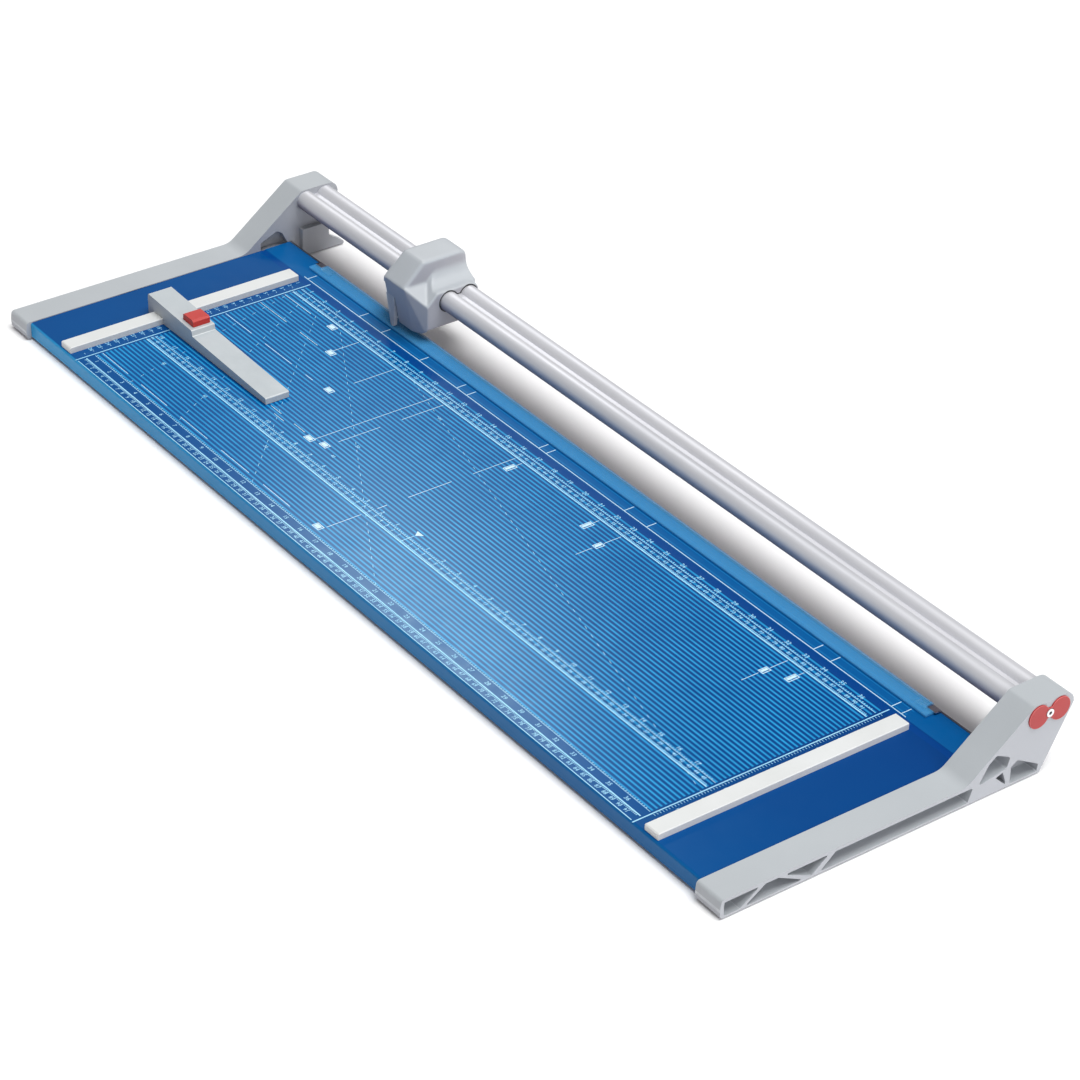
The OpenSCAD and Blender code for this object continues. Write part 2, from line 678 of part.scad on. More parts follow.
module backstop_body() {
  w = stop_w / 2;
  rail_gap = 0.35;
  rail_in = -paper_rail_x + paper_rail_w / 2;
  rail_out = -paper_rail_x - paper_rail_w / 2;
  arm_hollow = arm_l - 6;
  b = button_w / 2;
  color("gainsboro") translate([0, stop_y, 0]) difference() {
    along_y(-w, stop_w) stop_outline();
    // channel that straddles the paper rail
    block([rail_out - rail_gap, -w - 1, stop_floor - 1],
      [rail_in + rail_gap, w + 1, table_height + paper_rail_h + rail_gap]);
    // tunnel of the lock shoe
    block([rail_in - 1, -7.3, stop_floor - 1], [block_x1 - 3, 7.3, shoe_z1 + 0.4]);
    // seat of the bottom plate
    block([rail_in + 4, -w + 2, stop_floor - 1], [block_x1 - 2, w - 2, stop_floor + plate_t]);
    // button well above the ledge, and its window
    translate([button_x, button_y, 0]) {
      block([-b - 1.1, -b - 1.1, ledge_z + 1.5], [b + 1.1, b + 1.1, block_z - 4]);
      block([-b - 0.3, -b - 0.3, ledge_z + 2], [b + 0.3, b + 0.3, block_z + 9]);
    }
    // slot for the button stem through the ledge
    block([button_x - 2.6 - wedge * (button_travel + 0.3), -4.4, shoe_z1],
      [button_x + 2.6, 4.4, ledge_z + 2]);
    // arm and block are hollow underneath
    along_y(-w + 2, stop_w - 4) polygon([[block_x1 + 3, stop_floor - 1],
      [block_x1 + arm_hollow, stop_floor - 1], [block_x1 + arm_hollow, table_height + 5.5],
      [block_x1 + 3, table_height + 10.3]]);
    block([rail_in + 5, -w + 2, table_height + paper_rail_h + 4],
      [button_x - b - 4, w - 2, block_z - 2.5]);
    for (x = [rail_in + 9, block_x1 - 6]) for (side = [-1, 1]) {
      translate([x, side * 9.6, stop_floor - 1]) cylinder(h = 5, r = 0.75);
    }
  }
}

module backstop_button() {
  b = button_w / 2;
  top = block_z + 5.4;
  low = block_z - 7;
  color("crimson") translate([button_x, stop_y, 0]) {
    difference() {
      translate([0, button_y, 0]) {
        block([-b - 0.8, -b - 0.8, low], [b + 0.8, b + 0.8, low + 1.5]);
        along_y(-b, button_w) polygon([[-b, low], [b, low], [b, top - 1.6], [b - 2.2, top],
          [-b + 1.2, top], [-b, top - 1]]);
      }
      translate([0, 0, low - 1]) cylinder(h = 9.5, r = coil_r + 1);
    }
    block([-2, -stem_half, shoe_z1 + button_travel + 0.3], [2, stem_half, low + 8.6]);
    along_y(-stem_half, 2 * stem_half) polygon([[-2, shoe_z1 + button_travel + 0.31],
      [-2 - wedge * 4.6, shoe_z1 + button_travel - 4.29],
      [2 - wedge * 4.6, shoe_z1 + button_travel - 4.29],
      [2, shoe_z1 + button_travel + 0.31]]);
  }
}

module backstop_spring() {
  z0 = ledge_z + 1.6;
  color("silver") translate([button_x, stop_y, z0]) coil(coil_r, 0.4, block_z + 1.4 - z0, 3);
}

module lock_shoe() {
  x0 = -paper_rail_x + paper_rail_w / 2 + 0.3;
  x1 = button_x + 6;
  h = shoe_z1 - shoe_z0;
  base = 2 + wedge * (button_travel + 0.3);
  color("darkorange") translate([0, stop_y, 0]) difference() {
    along_y(-7, 14) polygon([[x0, shoe_z0], [x1, shoe_z0], [x1, shoe_z1], [x0, shoe_z1]]);
    along_y(-4.4, 8.8) polygon([
      [button_x - base - 0.35 - wedge * (h + 1), shoe_z0 - 1],
      [button_x - base + 4.35 - wedge * (h + 1), shoe_z0 - 1],
      [button_x - base + 4.35 + wedge, shoe_z1 + 1],
      [button_x - base - 0.35 + wedge, shoe_z1 + 1]]);
  }
}

module backstop_plate() {
  w = stop_w / 2;
  rail_in = -paper_rail_x + paper_rail_w / 2;
  color("silver") translate([0, stop_y, 0]) difference() {
    block([rail_in + 4.2, -w + 2.2, stop_floor], [block_x1 - 2.2, w - 2.2, stop_floor + plate_t]);
    for (x = [rail_in + 9, block_x1 - 6]) for (side = [-1, 1]) {
      translate([x, side * 9.6, stop_floor - 1]) cylinder(h = 5, r = 0.8);
    }
  }
}

module backstop_plate_screws() {
  rail_in = -paper_rail_x + paper_rail_w / 2;
  color("lightgray") translate([0, stop_y, 0]) {
    for (x = [rail_in + 9, block_x1 - 6]) for (side = [-1, 1]) {
      translate([x, side * 9.6, stop_floor - 0.3]) pan_screw(0.7, 3.8, 1.5, 0.3);
    }
  }
}

// ---------- assembly ----------

table_plate();
table_stiffener();
counter_blade();
counter_blade_screws();
clamp_strip();
strip_spring_left();
strip_spring_right();
end_frame_left();
end_frame_right();
rubber_feet();
table_screws();
guide_rail();
end_cap_left();
end_cap_right();
rail_screw_left();
rail_screw_right();
paper_rail_left();
paper_rail_right();
paper_rail_screws();
head_housing();
head_glide_left();
head_glide_right();
blade_carrier();
carrier_screws();
pressure_shoe();
blade_axle();
blade_nut();
blade_hub();
blade_clamp_ring();
round_blade();
blade_spring();
backstop_body();
backstop_button();
backstop_spring();
lock_shoe();
backstop_plate();
backstop_plate_screws();
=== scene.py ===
import json
import math

import bmesh
import bpy
from mathutils import Matrix, Vector


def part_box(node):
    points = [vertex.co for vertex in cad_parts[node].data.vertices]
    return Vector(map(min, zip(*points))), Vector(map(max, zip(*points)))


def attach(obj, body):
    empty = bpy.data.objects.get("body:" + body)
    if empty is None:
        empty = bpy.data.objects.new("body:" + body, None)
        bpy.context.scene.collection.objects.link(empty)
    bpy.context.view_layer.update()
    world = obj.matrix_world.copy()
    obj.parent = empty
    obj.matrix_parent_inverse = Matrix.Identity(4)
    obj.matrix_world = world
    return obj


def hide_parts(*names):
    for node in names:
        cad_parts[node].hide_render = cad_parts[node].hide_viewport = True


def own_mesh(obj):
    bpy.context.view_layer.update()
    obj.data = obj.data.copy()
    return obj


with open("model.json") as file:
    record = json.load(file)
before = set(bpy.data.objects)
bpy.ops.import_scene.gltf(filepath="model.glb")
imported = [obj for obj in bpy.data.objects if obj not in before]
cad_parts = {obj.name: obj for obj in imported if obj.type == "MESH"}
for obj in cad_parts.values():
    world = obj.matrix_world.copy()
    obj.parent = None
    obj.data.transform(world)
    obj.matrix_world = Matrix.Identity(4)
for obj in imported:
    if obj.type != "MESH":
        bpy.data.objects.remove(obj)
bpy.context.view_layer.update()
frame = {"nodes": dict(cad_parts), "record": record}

MM = 0.001
NODES = frame["nodes"]


# ---------- places taken from the built model, in millimetres ----------

def low(node):
    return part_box(node)[0] / MM


def high(node):
    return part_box(node)[1] / MM


TABLE_Z = low("paper_rail_right").z
BAND_Z = high("table_plate").z
FRONT_Y = low("end_frame_right").y
CUT_Y = high("counter_blade").y
BAND_Y = CUT_Y - 34
RAIL_LOW = low("guide_rail")
RAIL_HIGH = high("guide_rail")
TUBE_R = (RAIL_HIGH.z - RAIL_LOW.z) / 2
RAIL_Z = (RAIL_HIGH.z + RAIL_LOW.z) / 2
RAIL_Y = (RAIL_HIGH.y + RAIL_LOW.y) / 2
TUBE_Y = (RAIL_LOW.y + TUBE_R, RAIL_HIGH.y - TUBE_R)
FRAME_OUT = high("end_frame_right").x
HEAD_LOW = low("head_housing")
HEAD_HIGH = high("head_housing")
HEAD_X = (HEAD_LOW.x + HEAD_HIGH.x) / 2


# ---------- small tools ----------

def srgb(red, green, blue):
    """A colour given as it looks on a screen, 0 to 255, as scene-linear values."""
    def linear(value):
        value /= 255
        return value / 12.92 if value <= 0.04045 else ((value + 0.055) / 1.055) ** 2.4
    return (linear(red), linear(green), linear(blue), 1.0)


def add(tree, kind, inputs=None, **settings):
    """A node with its settings, and its inputs by name or number set or linked."""
    node = tree.nodes.new(kind)
    for key, value in settings.items():
        setattr(node, key, value)
    for key, value in (inputs or {}).items():
        socket = node.inputs[key]
        if isinstance(value, bpy.types.NodeSocket):
            tree.links.new(value, socket)
        else:
            socket.default_value = value
    return node


def link_object(name, mesh):
    obj = bpy.data.objects.new(name, mesh)
    bpy.context.scene.collection.objects.link(obj)
    return obj


def make_plain(obj):
    """Turns what the modifiers make into the object's own mesh."""
    graph = bpy.context.evaluated_depsgraph_get()
    mesh = bpy.data.meshes.new_from_object(obj.evaluated_get(graph))
    obj.modifiers.clear()
    obj.data = mesh
    return obj


def smooth(obj, angle=32):
    obj.data.shade_smooth()
    obj.data.set_sharp_from_angle(angle=math.radians(angle))
    return obj


def mark_wear_and_highlight_edges(obj, width):
    """Marks the narrow faces along the rounded edges, where a surface wears first and where the edge colour
    also gives a painted highlight.
    """
    mesh = obj.data
    layer = mesh.attributes.new("worn", "FLOAT", "FACE")
    for polygon in mesh.polygons:
        corners = [mesh.vertices[v].co for v in polygon.vertices]
        around = sum((corners[i] - corners[i - 1]).length for i in range(len(corners)))
        layer.data[polygon.index].value = 1.0 if 2 * polygon.area / around < 0.7 * width * MM else 0.0
    return obj


def bevel(obj, width, segments=3, angle=32, clamp=True):
    """Rounds the edges that turn by more than the angle and keeps the flat sides flat."""
    obj.data.shade_smooth()
    mod = obj.modifiers.new("edges", "BEVEL")
    mod.width = width * MM
    mod.segments = segments
    mod.limit_method = "ANGLE"
    mod.angle_limit = math.radians(angle)
    mod.use_clamp_overlap = clamp
    flat = obj.modifiers.new("flat", "WEIGHTED_NORMAL")
    flat.mode = "FACE_AREA"
    flat.weight = 100
    make_plain(obj)
    return mark_wear_and_highlight_edges(obj, width)


def copy_node(node, name):
    """A clean copy of a built piece: joined corners and one face for each flat side."""
    bm = bmesh.new()
    bm.from_mesh(NODES[node].data)
    bmesh.ops.remove_doubles(bm, verts=bm.verts, dist=2e-6)
    bmesh.ops.dissolve_limit(bm, angle_limit=math.radians(0.3), verts=bm.verts, edges=bm.edges)
    mesh = bpy.data.meshes.new(name)
    bm.to_mesh(mesh)
    bm.free()
    for layer in [a.name for a in mesh.attributes if a.name == "custom_normal"]:
        mesh.attributes.remove(mesh.attributes[layer])
    while mesh.uv_layers:
        mesh.uv_layers.remove(mesh.uv_layers[0])
    return link_object(name, mesh)


def place(obj, body, material, slot, *stands_for):
    """Gives a finished piece its material, its body and the built nodes it stands for."""
    obj.data.materials.clear()
    obj.data.materials.append(material)
    for polygon in obj.data.polygons:
        polygon.material_index = 0
    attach(obj, body)
    if stands_for:
        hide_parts(*stands_for)
    return obj


def rounded(corners, steps=8):
    """Outline from corners (a, b, radius), each radius an arc."""
    points = []
    count = len(corners)
    for i, (a, b, radius) in enumerate(corners):
        here = Vector((a, b))
        if radius <= 0:
            points.append((a, b))
            continue
        before = Vector(corners[i - 1][:2]) - here
        after = Vector(corners[(i + 1) % count][:2]) - here
        before.normalize()
        after.normalize()
        half = math.acos(max(-1, min(1, before.dot(after)))) / 2
        centre = here + (before + after).normalized() * radius / math.sin(half)
        start = here + before * radius / math.tan(half) - centre
        end = here + after * radius / math.tan(half) - centre
        first = math.atan2(start.y, start.x)
        turn = math.atan2(end.y, end.x) - first
        turn -= 2 * math.pi * round(turn / (2 * math.pi))
        for k in range(steps + 1):
            angle = first + turn * k / steps
            points.append((centre.x + radius * math.cos(angle), centre.y + radius * math.sin(angle)))
    return points


def loft(name, sections, across):
    """Closed solid through equal outlines, each given as (place along the axis, outline)."""
    bm = bmesh.new()
    rings = []
    for along, outline in sections:
        if across == "X":
            ring = [bm.verts.new((along * MM, a * MM, b * MM)) for a, b in outline]
        else:
            ring = [bm.verts.new((a * MM, along * MM, b * MM)) for a, b in outline]
        rings.append(ring)
    for one, two in zip(rings, rings[1:]):
        for k in range(len(one)):
            n = (k + 1) % len(one)
            bm.faces.new((one[k], one[n], two[n], two[k]))
    bm.faces.new(rings[0])
    bm.faces.new(rings[-1])
    bmesh.ops.recalc_face_normals(bm, faces=bm.faces)
    mesh = bpy.data.meshes.new(name)
    bm.to_mesh(mesh)
    bm.free()
    return link_object(name, mesh)


def prism(name, outline, across, start, end):
    return loft(name, [(start, outline), (end, outline)], across)


def hull_of(name, points):
    bm = bmesh.new()
    for point in points:
        bm.verts.new(Vector(point) * MM)
    bmesh.ops.convex_hull(bm, input=bm.verts)
    bmesh.ops.recalc_face_normals(bm, faces=bm.faces)
    mesh = bpy.data.meshes.new(name)
    bm.to_mesh(mesh)
    bm.free()
    return link_object(name, mesh)


def combine(obj, tool, operation):
    """Cuts the tool from the piece, or keeps what both share, and removes the tool."""
    mod = obj.modifiers.new("cut", "BOOLEAN")
    mod.operation = operation
    mod.object = tool
    mod.solver = "EXACT"
    make_plain(obj)
    bpy.data.objects.remove(tool)
    return obj


def joined(name, objects):
    bm = bmesh.new()
    for obj in objects:
        bm.from_mesh(obj.data)
    mesh = bpy.data.meshes.new(name)
    bm.to_mesh(mesh)
    bm.free()
    for obj in objects:
        bpy.data.objects.remove(obj)
    return link_object(name, mesh)


# ---------- materials ----------

def noise(tree, vector, scale, detail=3.0, rough=0.5):
    return add(tree, "ShaderNodeTexNoise", {"Vector": vector, "Scale": scale, "Detail": detail,
                                            "Roughness": rough}).outputs["Fac"]


def spread(tree, value, start, end, to_start=0.0, to_end=1.0):
    return add(tree, "ShaderNodeMapRange", {"Value": value, "From Min": start, "From Max": end,
                                            "To Min": to_start, "To Max": to_end}).outputs["Result"]


def blend_colours(tree, amount, one, two):
    node = add(tree, "ShaderNodeMix", {0: amount, 6: one, 7: two}, data_type="RGBA")
    return node.outputs[2]


def times(tree, one, two, operation="MULTIPLY"):
    return add(tree, "ShaderNodeMath", {0: one, 1: two}, operation=operation).outputs[0]


def place_of(tree, stretch=(1, 1, 1)):
    where = add(tree, "ShaderNodeTexCoord").outputs["Object"]
    return add(tree, "ShaderNodeMapping", {"Vector": where, "Scale": stretch}).outputs["Vector"]


def finish(name, tone, second, rough, grain, depth, metal=0.0, stretch=(1, 1, 1), rough_spread=0.06,
           edge=None, under=None, cloud=14.0, dense=False, recess=0.0, **shader):
    """A surface with drifting colour, a fine grain, uneven gloss, edges in a set colour that stands for wear
    and a painted highlight, and painted shade on the faces turned down.

    grain is the size of the surface's texture and depth its height, both in millimetres. A dense
    mesh shows its edge colour where it bends, any other on the narrow faces along its edges. recess is
    the distance from the middle of the table, in millimetres, inside which the surface is painted dark as
    shade in the recess.
    """
    material = bpy.data.materials.new(name)
    material.use_nodes = True
    tree = material.node_tree
    tree.nodes.clear()
    where = place_of(tree, stretch)
    drift = spread(tree, noise(tree, where, cloud, 4), 0.35, 0.65)
    colour = blend_colours(tree, drift, tone, second)
    speck = spread(tree, noise(tree, where, 1 / (grain * 2.2 * MM), 2), 0.62, 0.8, 0.0, 0.22)
    colour = blend_colours(tree, speck, colour, tuple(c * 0.72 for c in second[:3]) + (1,))
    # Faces turned down are blended to the under colour: painted shade on the underside.
    if under:
        facing = add(tree, "ShaderNodeSeparateXYZ",
                     {"Vector": add(tree, "ShaderNodeTexCoord").outputs["Normal"]}).outputs["Z"]
        colour = blend_colours(tree, spread(tree, facing, 0.45, -0.75), colour, under)
    # Inside the recess the colour turns dark grey: painted shade in the screw's socket.
    if recess:
        sideways = add(tree, "ShaderNodeSeparateXYZ", {"Vector": where}).outputs["X"]
        away = times(tree, sideways, 0.0, "ABSOLUTE")
        painted_recess_shade = spread(tree, away, (recess + 0.1) * MM, (recess - 0.1) * MM)
        colour = blend_colours(tree, painted_recess_shade, colour, srgb(70, 62, 66))
    # Edges take the edge colour: partly wear, partly a painted highlight along the rounded edges.
    if edge and dense:
        bent = add(tree, "ShaderNodeNewGeometry").outputs["Pointiness"]
        patches = spread(tree, noise(tree, where, 90, 3), 0.3, 0.7)
        worn = times(tree, spread(tree, bent, 0.52, 0.60), patches)
        colour = blend_colours(tree, worn, colour, edge)
    elif edge:
        strip = add(tree, "ShaderNodeAttribute", attribute_name="worn").outputs["Fac"]
        worn = times(tree, strip, spread(tree, noise(tree, where, 90, 3), 0.3, 0.7, 0.25, 0.9))
        colour = blend_colours(tree, worn, colour, edge)
    gloss = spread(tree, noise(tree, where, cloud * 6, 5), 0.3, 0.7, rough - rough_spread,
                   rough + rough_spread)
    height = noise(tree, where, 1 / (grain * MM), 2, 0.6)
    bump = add(tree, "ShaderNodeBump", {"Height": height, "Strength": 1.0, "Distance": depth * MM})
    inputs = {"Base Color": colour, "Roughness": gloss, "Normal": bump.outputs["Normal"], "Metallic": metal}
    inputs.update(shader)
    body = add(tree, "ShaderNodeBsdfPrincipled", inputs)
    out = add(tree, "ShaderNodeOutputMaterial")
    tree.links.new(body.outputs["BSDF"], out.inputs["Surface"])
    return material


def stripes(tree, value, first, pitch, share):
    """Soft stripes at equal steps along a coordinate in metres: 1 on a stripe, 0 between."""
    turn = times(tree, times(tree, value, first * MM, "SUBTRACT"), pitch * MM, "DIVIDE")
    part = add(tree, "ShaderNodeMath", {0: turn}, operation="FRACT").outputs[0]
    offset = times(tree, part, 0.5, "SUBTRACT")
    middle = add(tree, "ShaderNodeMath", {0: offset}, operation="ABSOLUTE").outputs[0]
    return spread(tree, middle, share / 2 + 0.06, share / 2 - 0.06)


def inside(tree, value, start, end, soft=0.3):
    """1 between two places on a coordinate, 0 outside them."""
    rise = spread(tree, value, (start - soft) * MM, (start + soft) * MM)
    fall = spread(tree, value, (end + soft) * MM, (end - soft) * MM)
    return times(tree, rise, fall)


def table_paint():
    """Satin blue coat with fine ruled lines, orange peel and faint rubbed marks, with painted shade towards
    the rear right and in a band before the raised strip, and a painted reflection on the front lip.
    """
    material = bpy.data.materials.new("blue_coat")
    material.use_nodes = True
    tree = material.node_tree
    tree.nodes.clear()
    where = place_of(tree)
    along = add(tree, "ShaderNodeSeparateXYZ", {"Vector": where})
    x, y = along.outputs["X"], along.outputs["Y"]
    drift = spread(tree, noise(tree, where, 6, 3), 0.3, 0.7)
    colour = blend_colours(tree, drift, srgb(0, 76, 141), srgb(0, 70, 135))
    # Painted shade: darker towards the rear right, where the table's sheen fades.
    painted_rear_shade = times(tree, spread(tree, x, -0.5, 0.5), spread(tree, y, -0.19, 0.13))
    colour = blend_colours(tree, times(tree, painted_rear_shade, 0.75), colour, srgb(0, 48, 116))
    # Painted shade: a darker band just before the raised strip.
    painted_shade_band = inside(tree, y, BAND_Y - 6, BAND_Y + 0.6)
    colour = blend_colours(tree, times(tree, painted_shade_band, 0.5), colour, srgb(0, 62, 138))
    raised = inside(tree, y, BAND_Y + 1.5, CUT_Y)
    colour = blend_colours(tree, times(tree, raised, 0.55), colour, srgb(14, 104, 168))
    field = times(tree, inside(tree, x, -452, 452), inside(tree, y, -163, BAND_Y - 5))
    top = spread(tree, along.outputs["Z"], (TABLE_Z - 1) * MM, (TABLE_Z - 0.5) * MM)
    ruled = times(tree, stripes(tree, y, -163, 4.82, 0.4), times(tree, field, top))
    faded = spread(tree, noise(tree, where, 30, 3), 0.3, 0.7, 0.75, 1.0)
    colour = blend_colours(tree, times(tree, ruled, faded), colour, srgb(36, 150, 210))
    fine = times(tree, stripes(tree, y, BAND_Y + 2, 8.0, 0.1), raised)
    fine = times(tree, fine, inside(tree, x, -470, 470))
    fine = times(tree, fine, 0.5)
    colour = blend_colours(tree, fine, colour, srgb(40, 140, 200))
    # Painted reflection: the front lip turns lighter towards the left.
    lip = spread(tree, y, (FRONT_Y + 7.5) * MM, (FRONT_Y + 6) * MM)
    painted_lip_reflection = times(tree, lip, spread(tree, x, 0.35, -0.45, 0.15, 0.8))
    colour = blend_colours(tree, painted_lip_reflection, colour, srgb(52, 156, 212))
    rubbed = noise(tree, place_of(tree, (1, 30, 1)), 40, 4, 0.7)
    colour = blend_colours(tree, spread(tree, rubbed, 0.66, 0.8, 0.0, 0.12), colour, srgb(60, 140, 200))
    gloss = spread(tree, noise(tree, where, 60, 5), 0.3, 0.7, 0.21, 0.25)
    peel = add(tree, "ShaderNodeBump", {"Height": noise(tree, where, 700, 2), "Strength": 1.0,
                                        "Distance": 0.015 * MM})
    body = add(tree, "ShaderNodeBsdfPrincipled", {
        "Base Color": colour, "Roughness": gloss, "Normal": peel.outputs["Normal"],
        "Specular IOR Level": 0.15, "Specular Tint": (0.28, 0.95, 1.0, 1.0)})
    out = add(tree, "ShaderNodeOutputMaterial")
    tree.links.new(body.outputs["BSDF"], out.inputs["Surface"])
    return material


def clear_plastic():
    """Clear strip with a faint blue cast and fine scratches."""
    material = bpy.data.materials.new("clear_plastic")
    material.use_nodes = True
    tree = material.node_tree
    tree.nodes.clear()
    where = place_of(tree, (1, 6, 6))
    scratches = noise(tree, where, 260, 4, 0.7)
    colour = blend_colours(tree, spread(tree, scratches, 0.5, 0.75), srgb(84, 176, 236),
                           srgb(130, 206, 244))
    gloss = spread(tree, scratches, 0.3, 0.7, 0.08, 0.2)
    bump = add(tree, "ShaderNodeBump", {"Height": scratches, "Strength": 1.0, "Distance": 0.01 * MM})
    body = add(tree, "ShaderNodeBsdfPrincipled", {
        "Base Color": colour, "Roughness": gloss, "Normal": bump.outputs["Normal"],
        "IOR": 1.49, "Alpha": 0.36, "Specular IOR Level": 0.3})
    out = add(tree, "ShaderNodeOutputMaterial")
    tree.links.new(body.outputs["BSDF"], out.inputs["Surface"])
    return material


BLUE = table_paint()
CLEAR = clear_plastic()
# under gives painted shade on faces turned down; edge is a paler edge colour for wear and a painted highlight.
FRAME_GREY = finish("moulded_grey", srgb(178, 183, 187), srgb(174, 179, 183), 0.5, 0.35, 0.018,
                    rough_spread=0.03,
                    edge=srgb(206, 210, 214), under=srgb(160, 158, 168))
HEAD_GREY = finish("smooth_grey", srgb(182, 187, 192), srgb(177, 182, 187), 0.42, 0.5, 0.008,
                   edge=srgb(206, 209, 214), under=srgb(150, 138, 150), rough_spread=0.03, dense=True)
STOP_GREY = finish("stop_grey", srgb(184, 191, 195), srgb(178, 185, 189), 0.45, 0.4, 0.012,
                   edge=srgb(218, 221, 222), under=srgb(184, 184, 186))
RAIL_WHITE = finish("rail_white", srgb(218, 220, 220), srgb(212, 214, 213), 0.42, 0.5, 0.008,
                    edge=srgb(238, 238, 238), under=srgb(196, 192, 190))
TUBE_METAL = finish("drawn_aluminium", srgb(226, 226, 230), srgb(214, 215, 220), 0.5, 0.25, 0.003,
                    metal=0.5, stretch=(0.04, 1, 1), cloud=60.0, under=srgb(116, 96, 112),
                    **{"Specular Tint": (0.4, 0.4, 0.44, 1.0)})
CAP_RED = finish("cap_red", srgb(170, 54, 54), srgb(162, 48, 50), 0.45, 0.5, 0.008,
                 edge=srgb(224, 120, 116))
BUTTON_RED = finish("button_red", srgb(194, 44, 36), srgb(186, 40, 33), 0.42, 0.5, 0.008,
                    edge=srgb(240, 90, 76))
STEEL = finish("zinc_steel", srgb(208, 209, 212), srgb(186, 188, 193), 0.3, 0.3, 0.004, metal=1.0,
               rough_spread=0.08)
BRIGHT_STEEL = finish("bright_screw", srgb(236, 236, 238), srgb(222, 223, 226), 0.3, 0.3, 0.003, metal=1.0)
# The dark inside of this screw is painted shade in its socket.
CAP_SCREW = finish("cap_screw", srgb(236, 236, 238), srgb(226, 226, 230), 0.4, 0.3, 0.003,
                   recess=FRAME_OUT + 1.6)
GROUND_STEEL = finish("ground_steel", srgb(150, 154, 162), srgb(128, 132, 142), 0.32, 0.2, 0.006, metal=1.0,
                      stretch=(0.05, 1, 1), cloud=80.0)
GALVANISED = finish("galvanised_sheet", srgb(182, 187, 192), srgb(150, 156, 164), 0.42, 0.8, 0.006,
                    metal=1.0, cloud=60.0, rough_spread=0.12)
RUBBER = finish("foot_rubber", srgb(34, 34, 36), srgb(44, 44, 46), 0.8, 0.4, 0.03)
DARK_PLASTIC = finish("dark_plastic", srgb(46, 47, 50), srgb(36, 37, 40), 0.5, 0.4, 0.012,
                      edge=srgb(70, 71, 75))
CASTING = finish("plain_casting", srgb(160, 163, 168), srgb(136, 140, 147), 0.5, 0.6, 0.03, metal=0.8,
                 edge=srgb(190, 192, 196))
ORANGE = finish("lock_plastic", srgb(214, 112, 40), srgb(200, 98, 30), 0.45, 0.4, 0.012)
PRINT = finish("pale_print", srgb(166, 224, 248), srgb(150, 214, 244), 0.4, 0.3, 0.002)
LABEL_PRINT = finish("label_print", srgb(206, 234, 248), srgb(190, 226, 244), 0.4, 0.3, 0.002)


# ---------- repeats made with geometry nodes ----------

def new_group(name, sizes):
    """Geometry tree with named float or whole-number inputs and a geometry output."""
    group = bpy.data.node_groups.new(name, "GeometryNodeTree")
    for label, start in sizes.items():
        kind = "NodeSocketInt" if isinstance(start, int) else "NodeSocketFloat"
        socket = group.interface.new_socket(label, in_out="INPUT", socket_type=kind)
        socket.default_value = start
    group.interface.new_socket("Geometry", in_out="OUTPUT", socket_type="NodeSocketGeometry")
    return group, group.nodes.new("NodeGroupInput").outputs, group.nodes.new("NodeGroupOutput")


def end_group(group, geometry, output, material):
    """Realizes the instances, sets the material and ends the tree."""
    real = add(group, "GeometryNodeRealizeInstances", {"Geometry": geometry})
    dressed = add(group, "GeometryNodeSetMaterial", {"Geometry": real.outputs["Geometry"],
                                                     "Material": material})
    group.links.new(dressed.outputs["Geometry"], output.inputs["Geometry"])
    return group


def from_group(name, group, **values):
    """Runs a tree with its named inputs and keeps the result as a plain mesh."""
    obj = link_object(name, bpy.data.meshes.new(name))
    mod = obj.modifiers.new("repeat", "NODES")
    mod.node_group = group
    for item in group.interface.items_tree:
        if item.in_out == "INPUT" and item.name in values:
            mod[item.identifier] = values[item.name]
    return make_plain(obj)


def at(group, x, y, z):
    return add(group, "ShaderNodeCombineXYZ", {"X": x, "Y": y, "Z": z}).outputs["Vector"]


def bar_row_group(name, material):
    """Row of flat bars; every fifth and tenth one is longer."""
    group, given, out = new_group(name, {"Count": 10, "X": 0.0, "Y": 0.0, "Z": 0.0, "Step X": 0.01,
                                         "Step Y": 0.0, "Bar X": 0.001, "Bar Y": 0.001, "Height": 0.00004,
                                         "Long": 1.0})
    line = add(group, "GeometryNodeMeshLine", {"Count": given["Count"],
                                               "Start Location": at(group, given["X"], given["Y"], given["Z"]),
                                               "Offset": at(group, given["Step X"], given["Step Y"], 0.0)})
    bar = add(group, "GeometryNodeMeshCube", {"Size": at(group, given["Bar X"], given["Bar Y"],
                                                         given["Height"])})
    index = add(group, "GeometryNodeInputIndex").outputs[0]
    fifth = add(group, "ShaderNodeMath", {0: index, 1: 5.0}, operation="MODULO").outputs[0]
    is_fifth = add(group, "ShaderNodeMath", {0: fifth, 1: 0.5}, operation="LESS_THAN").outputs[0]
    extra = add(group, "ShaderNodeMath", {0: given["Long"], 1: 1.0}, operation="SUBTRACT").outputs[0]
    grow = add(group, "ShaderNodeMath", {0: is_fifth, 1: extra, 2: 1.0}, operation="MULTIPLY_ADD").outputs[0]
    spots = add(group, "GeometryNodeInstanceOnPoints", {"Points": line.outputs["Mesh"],
                                                        "Instance": bar.outputs["Mesh"],
                                                        "Scale": at(group, 1.0, grow, 1.0)})
    return end_group(group, spots.outputs["Instances"], out, material)


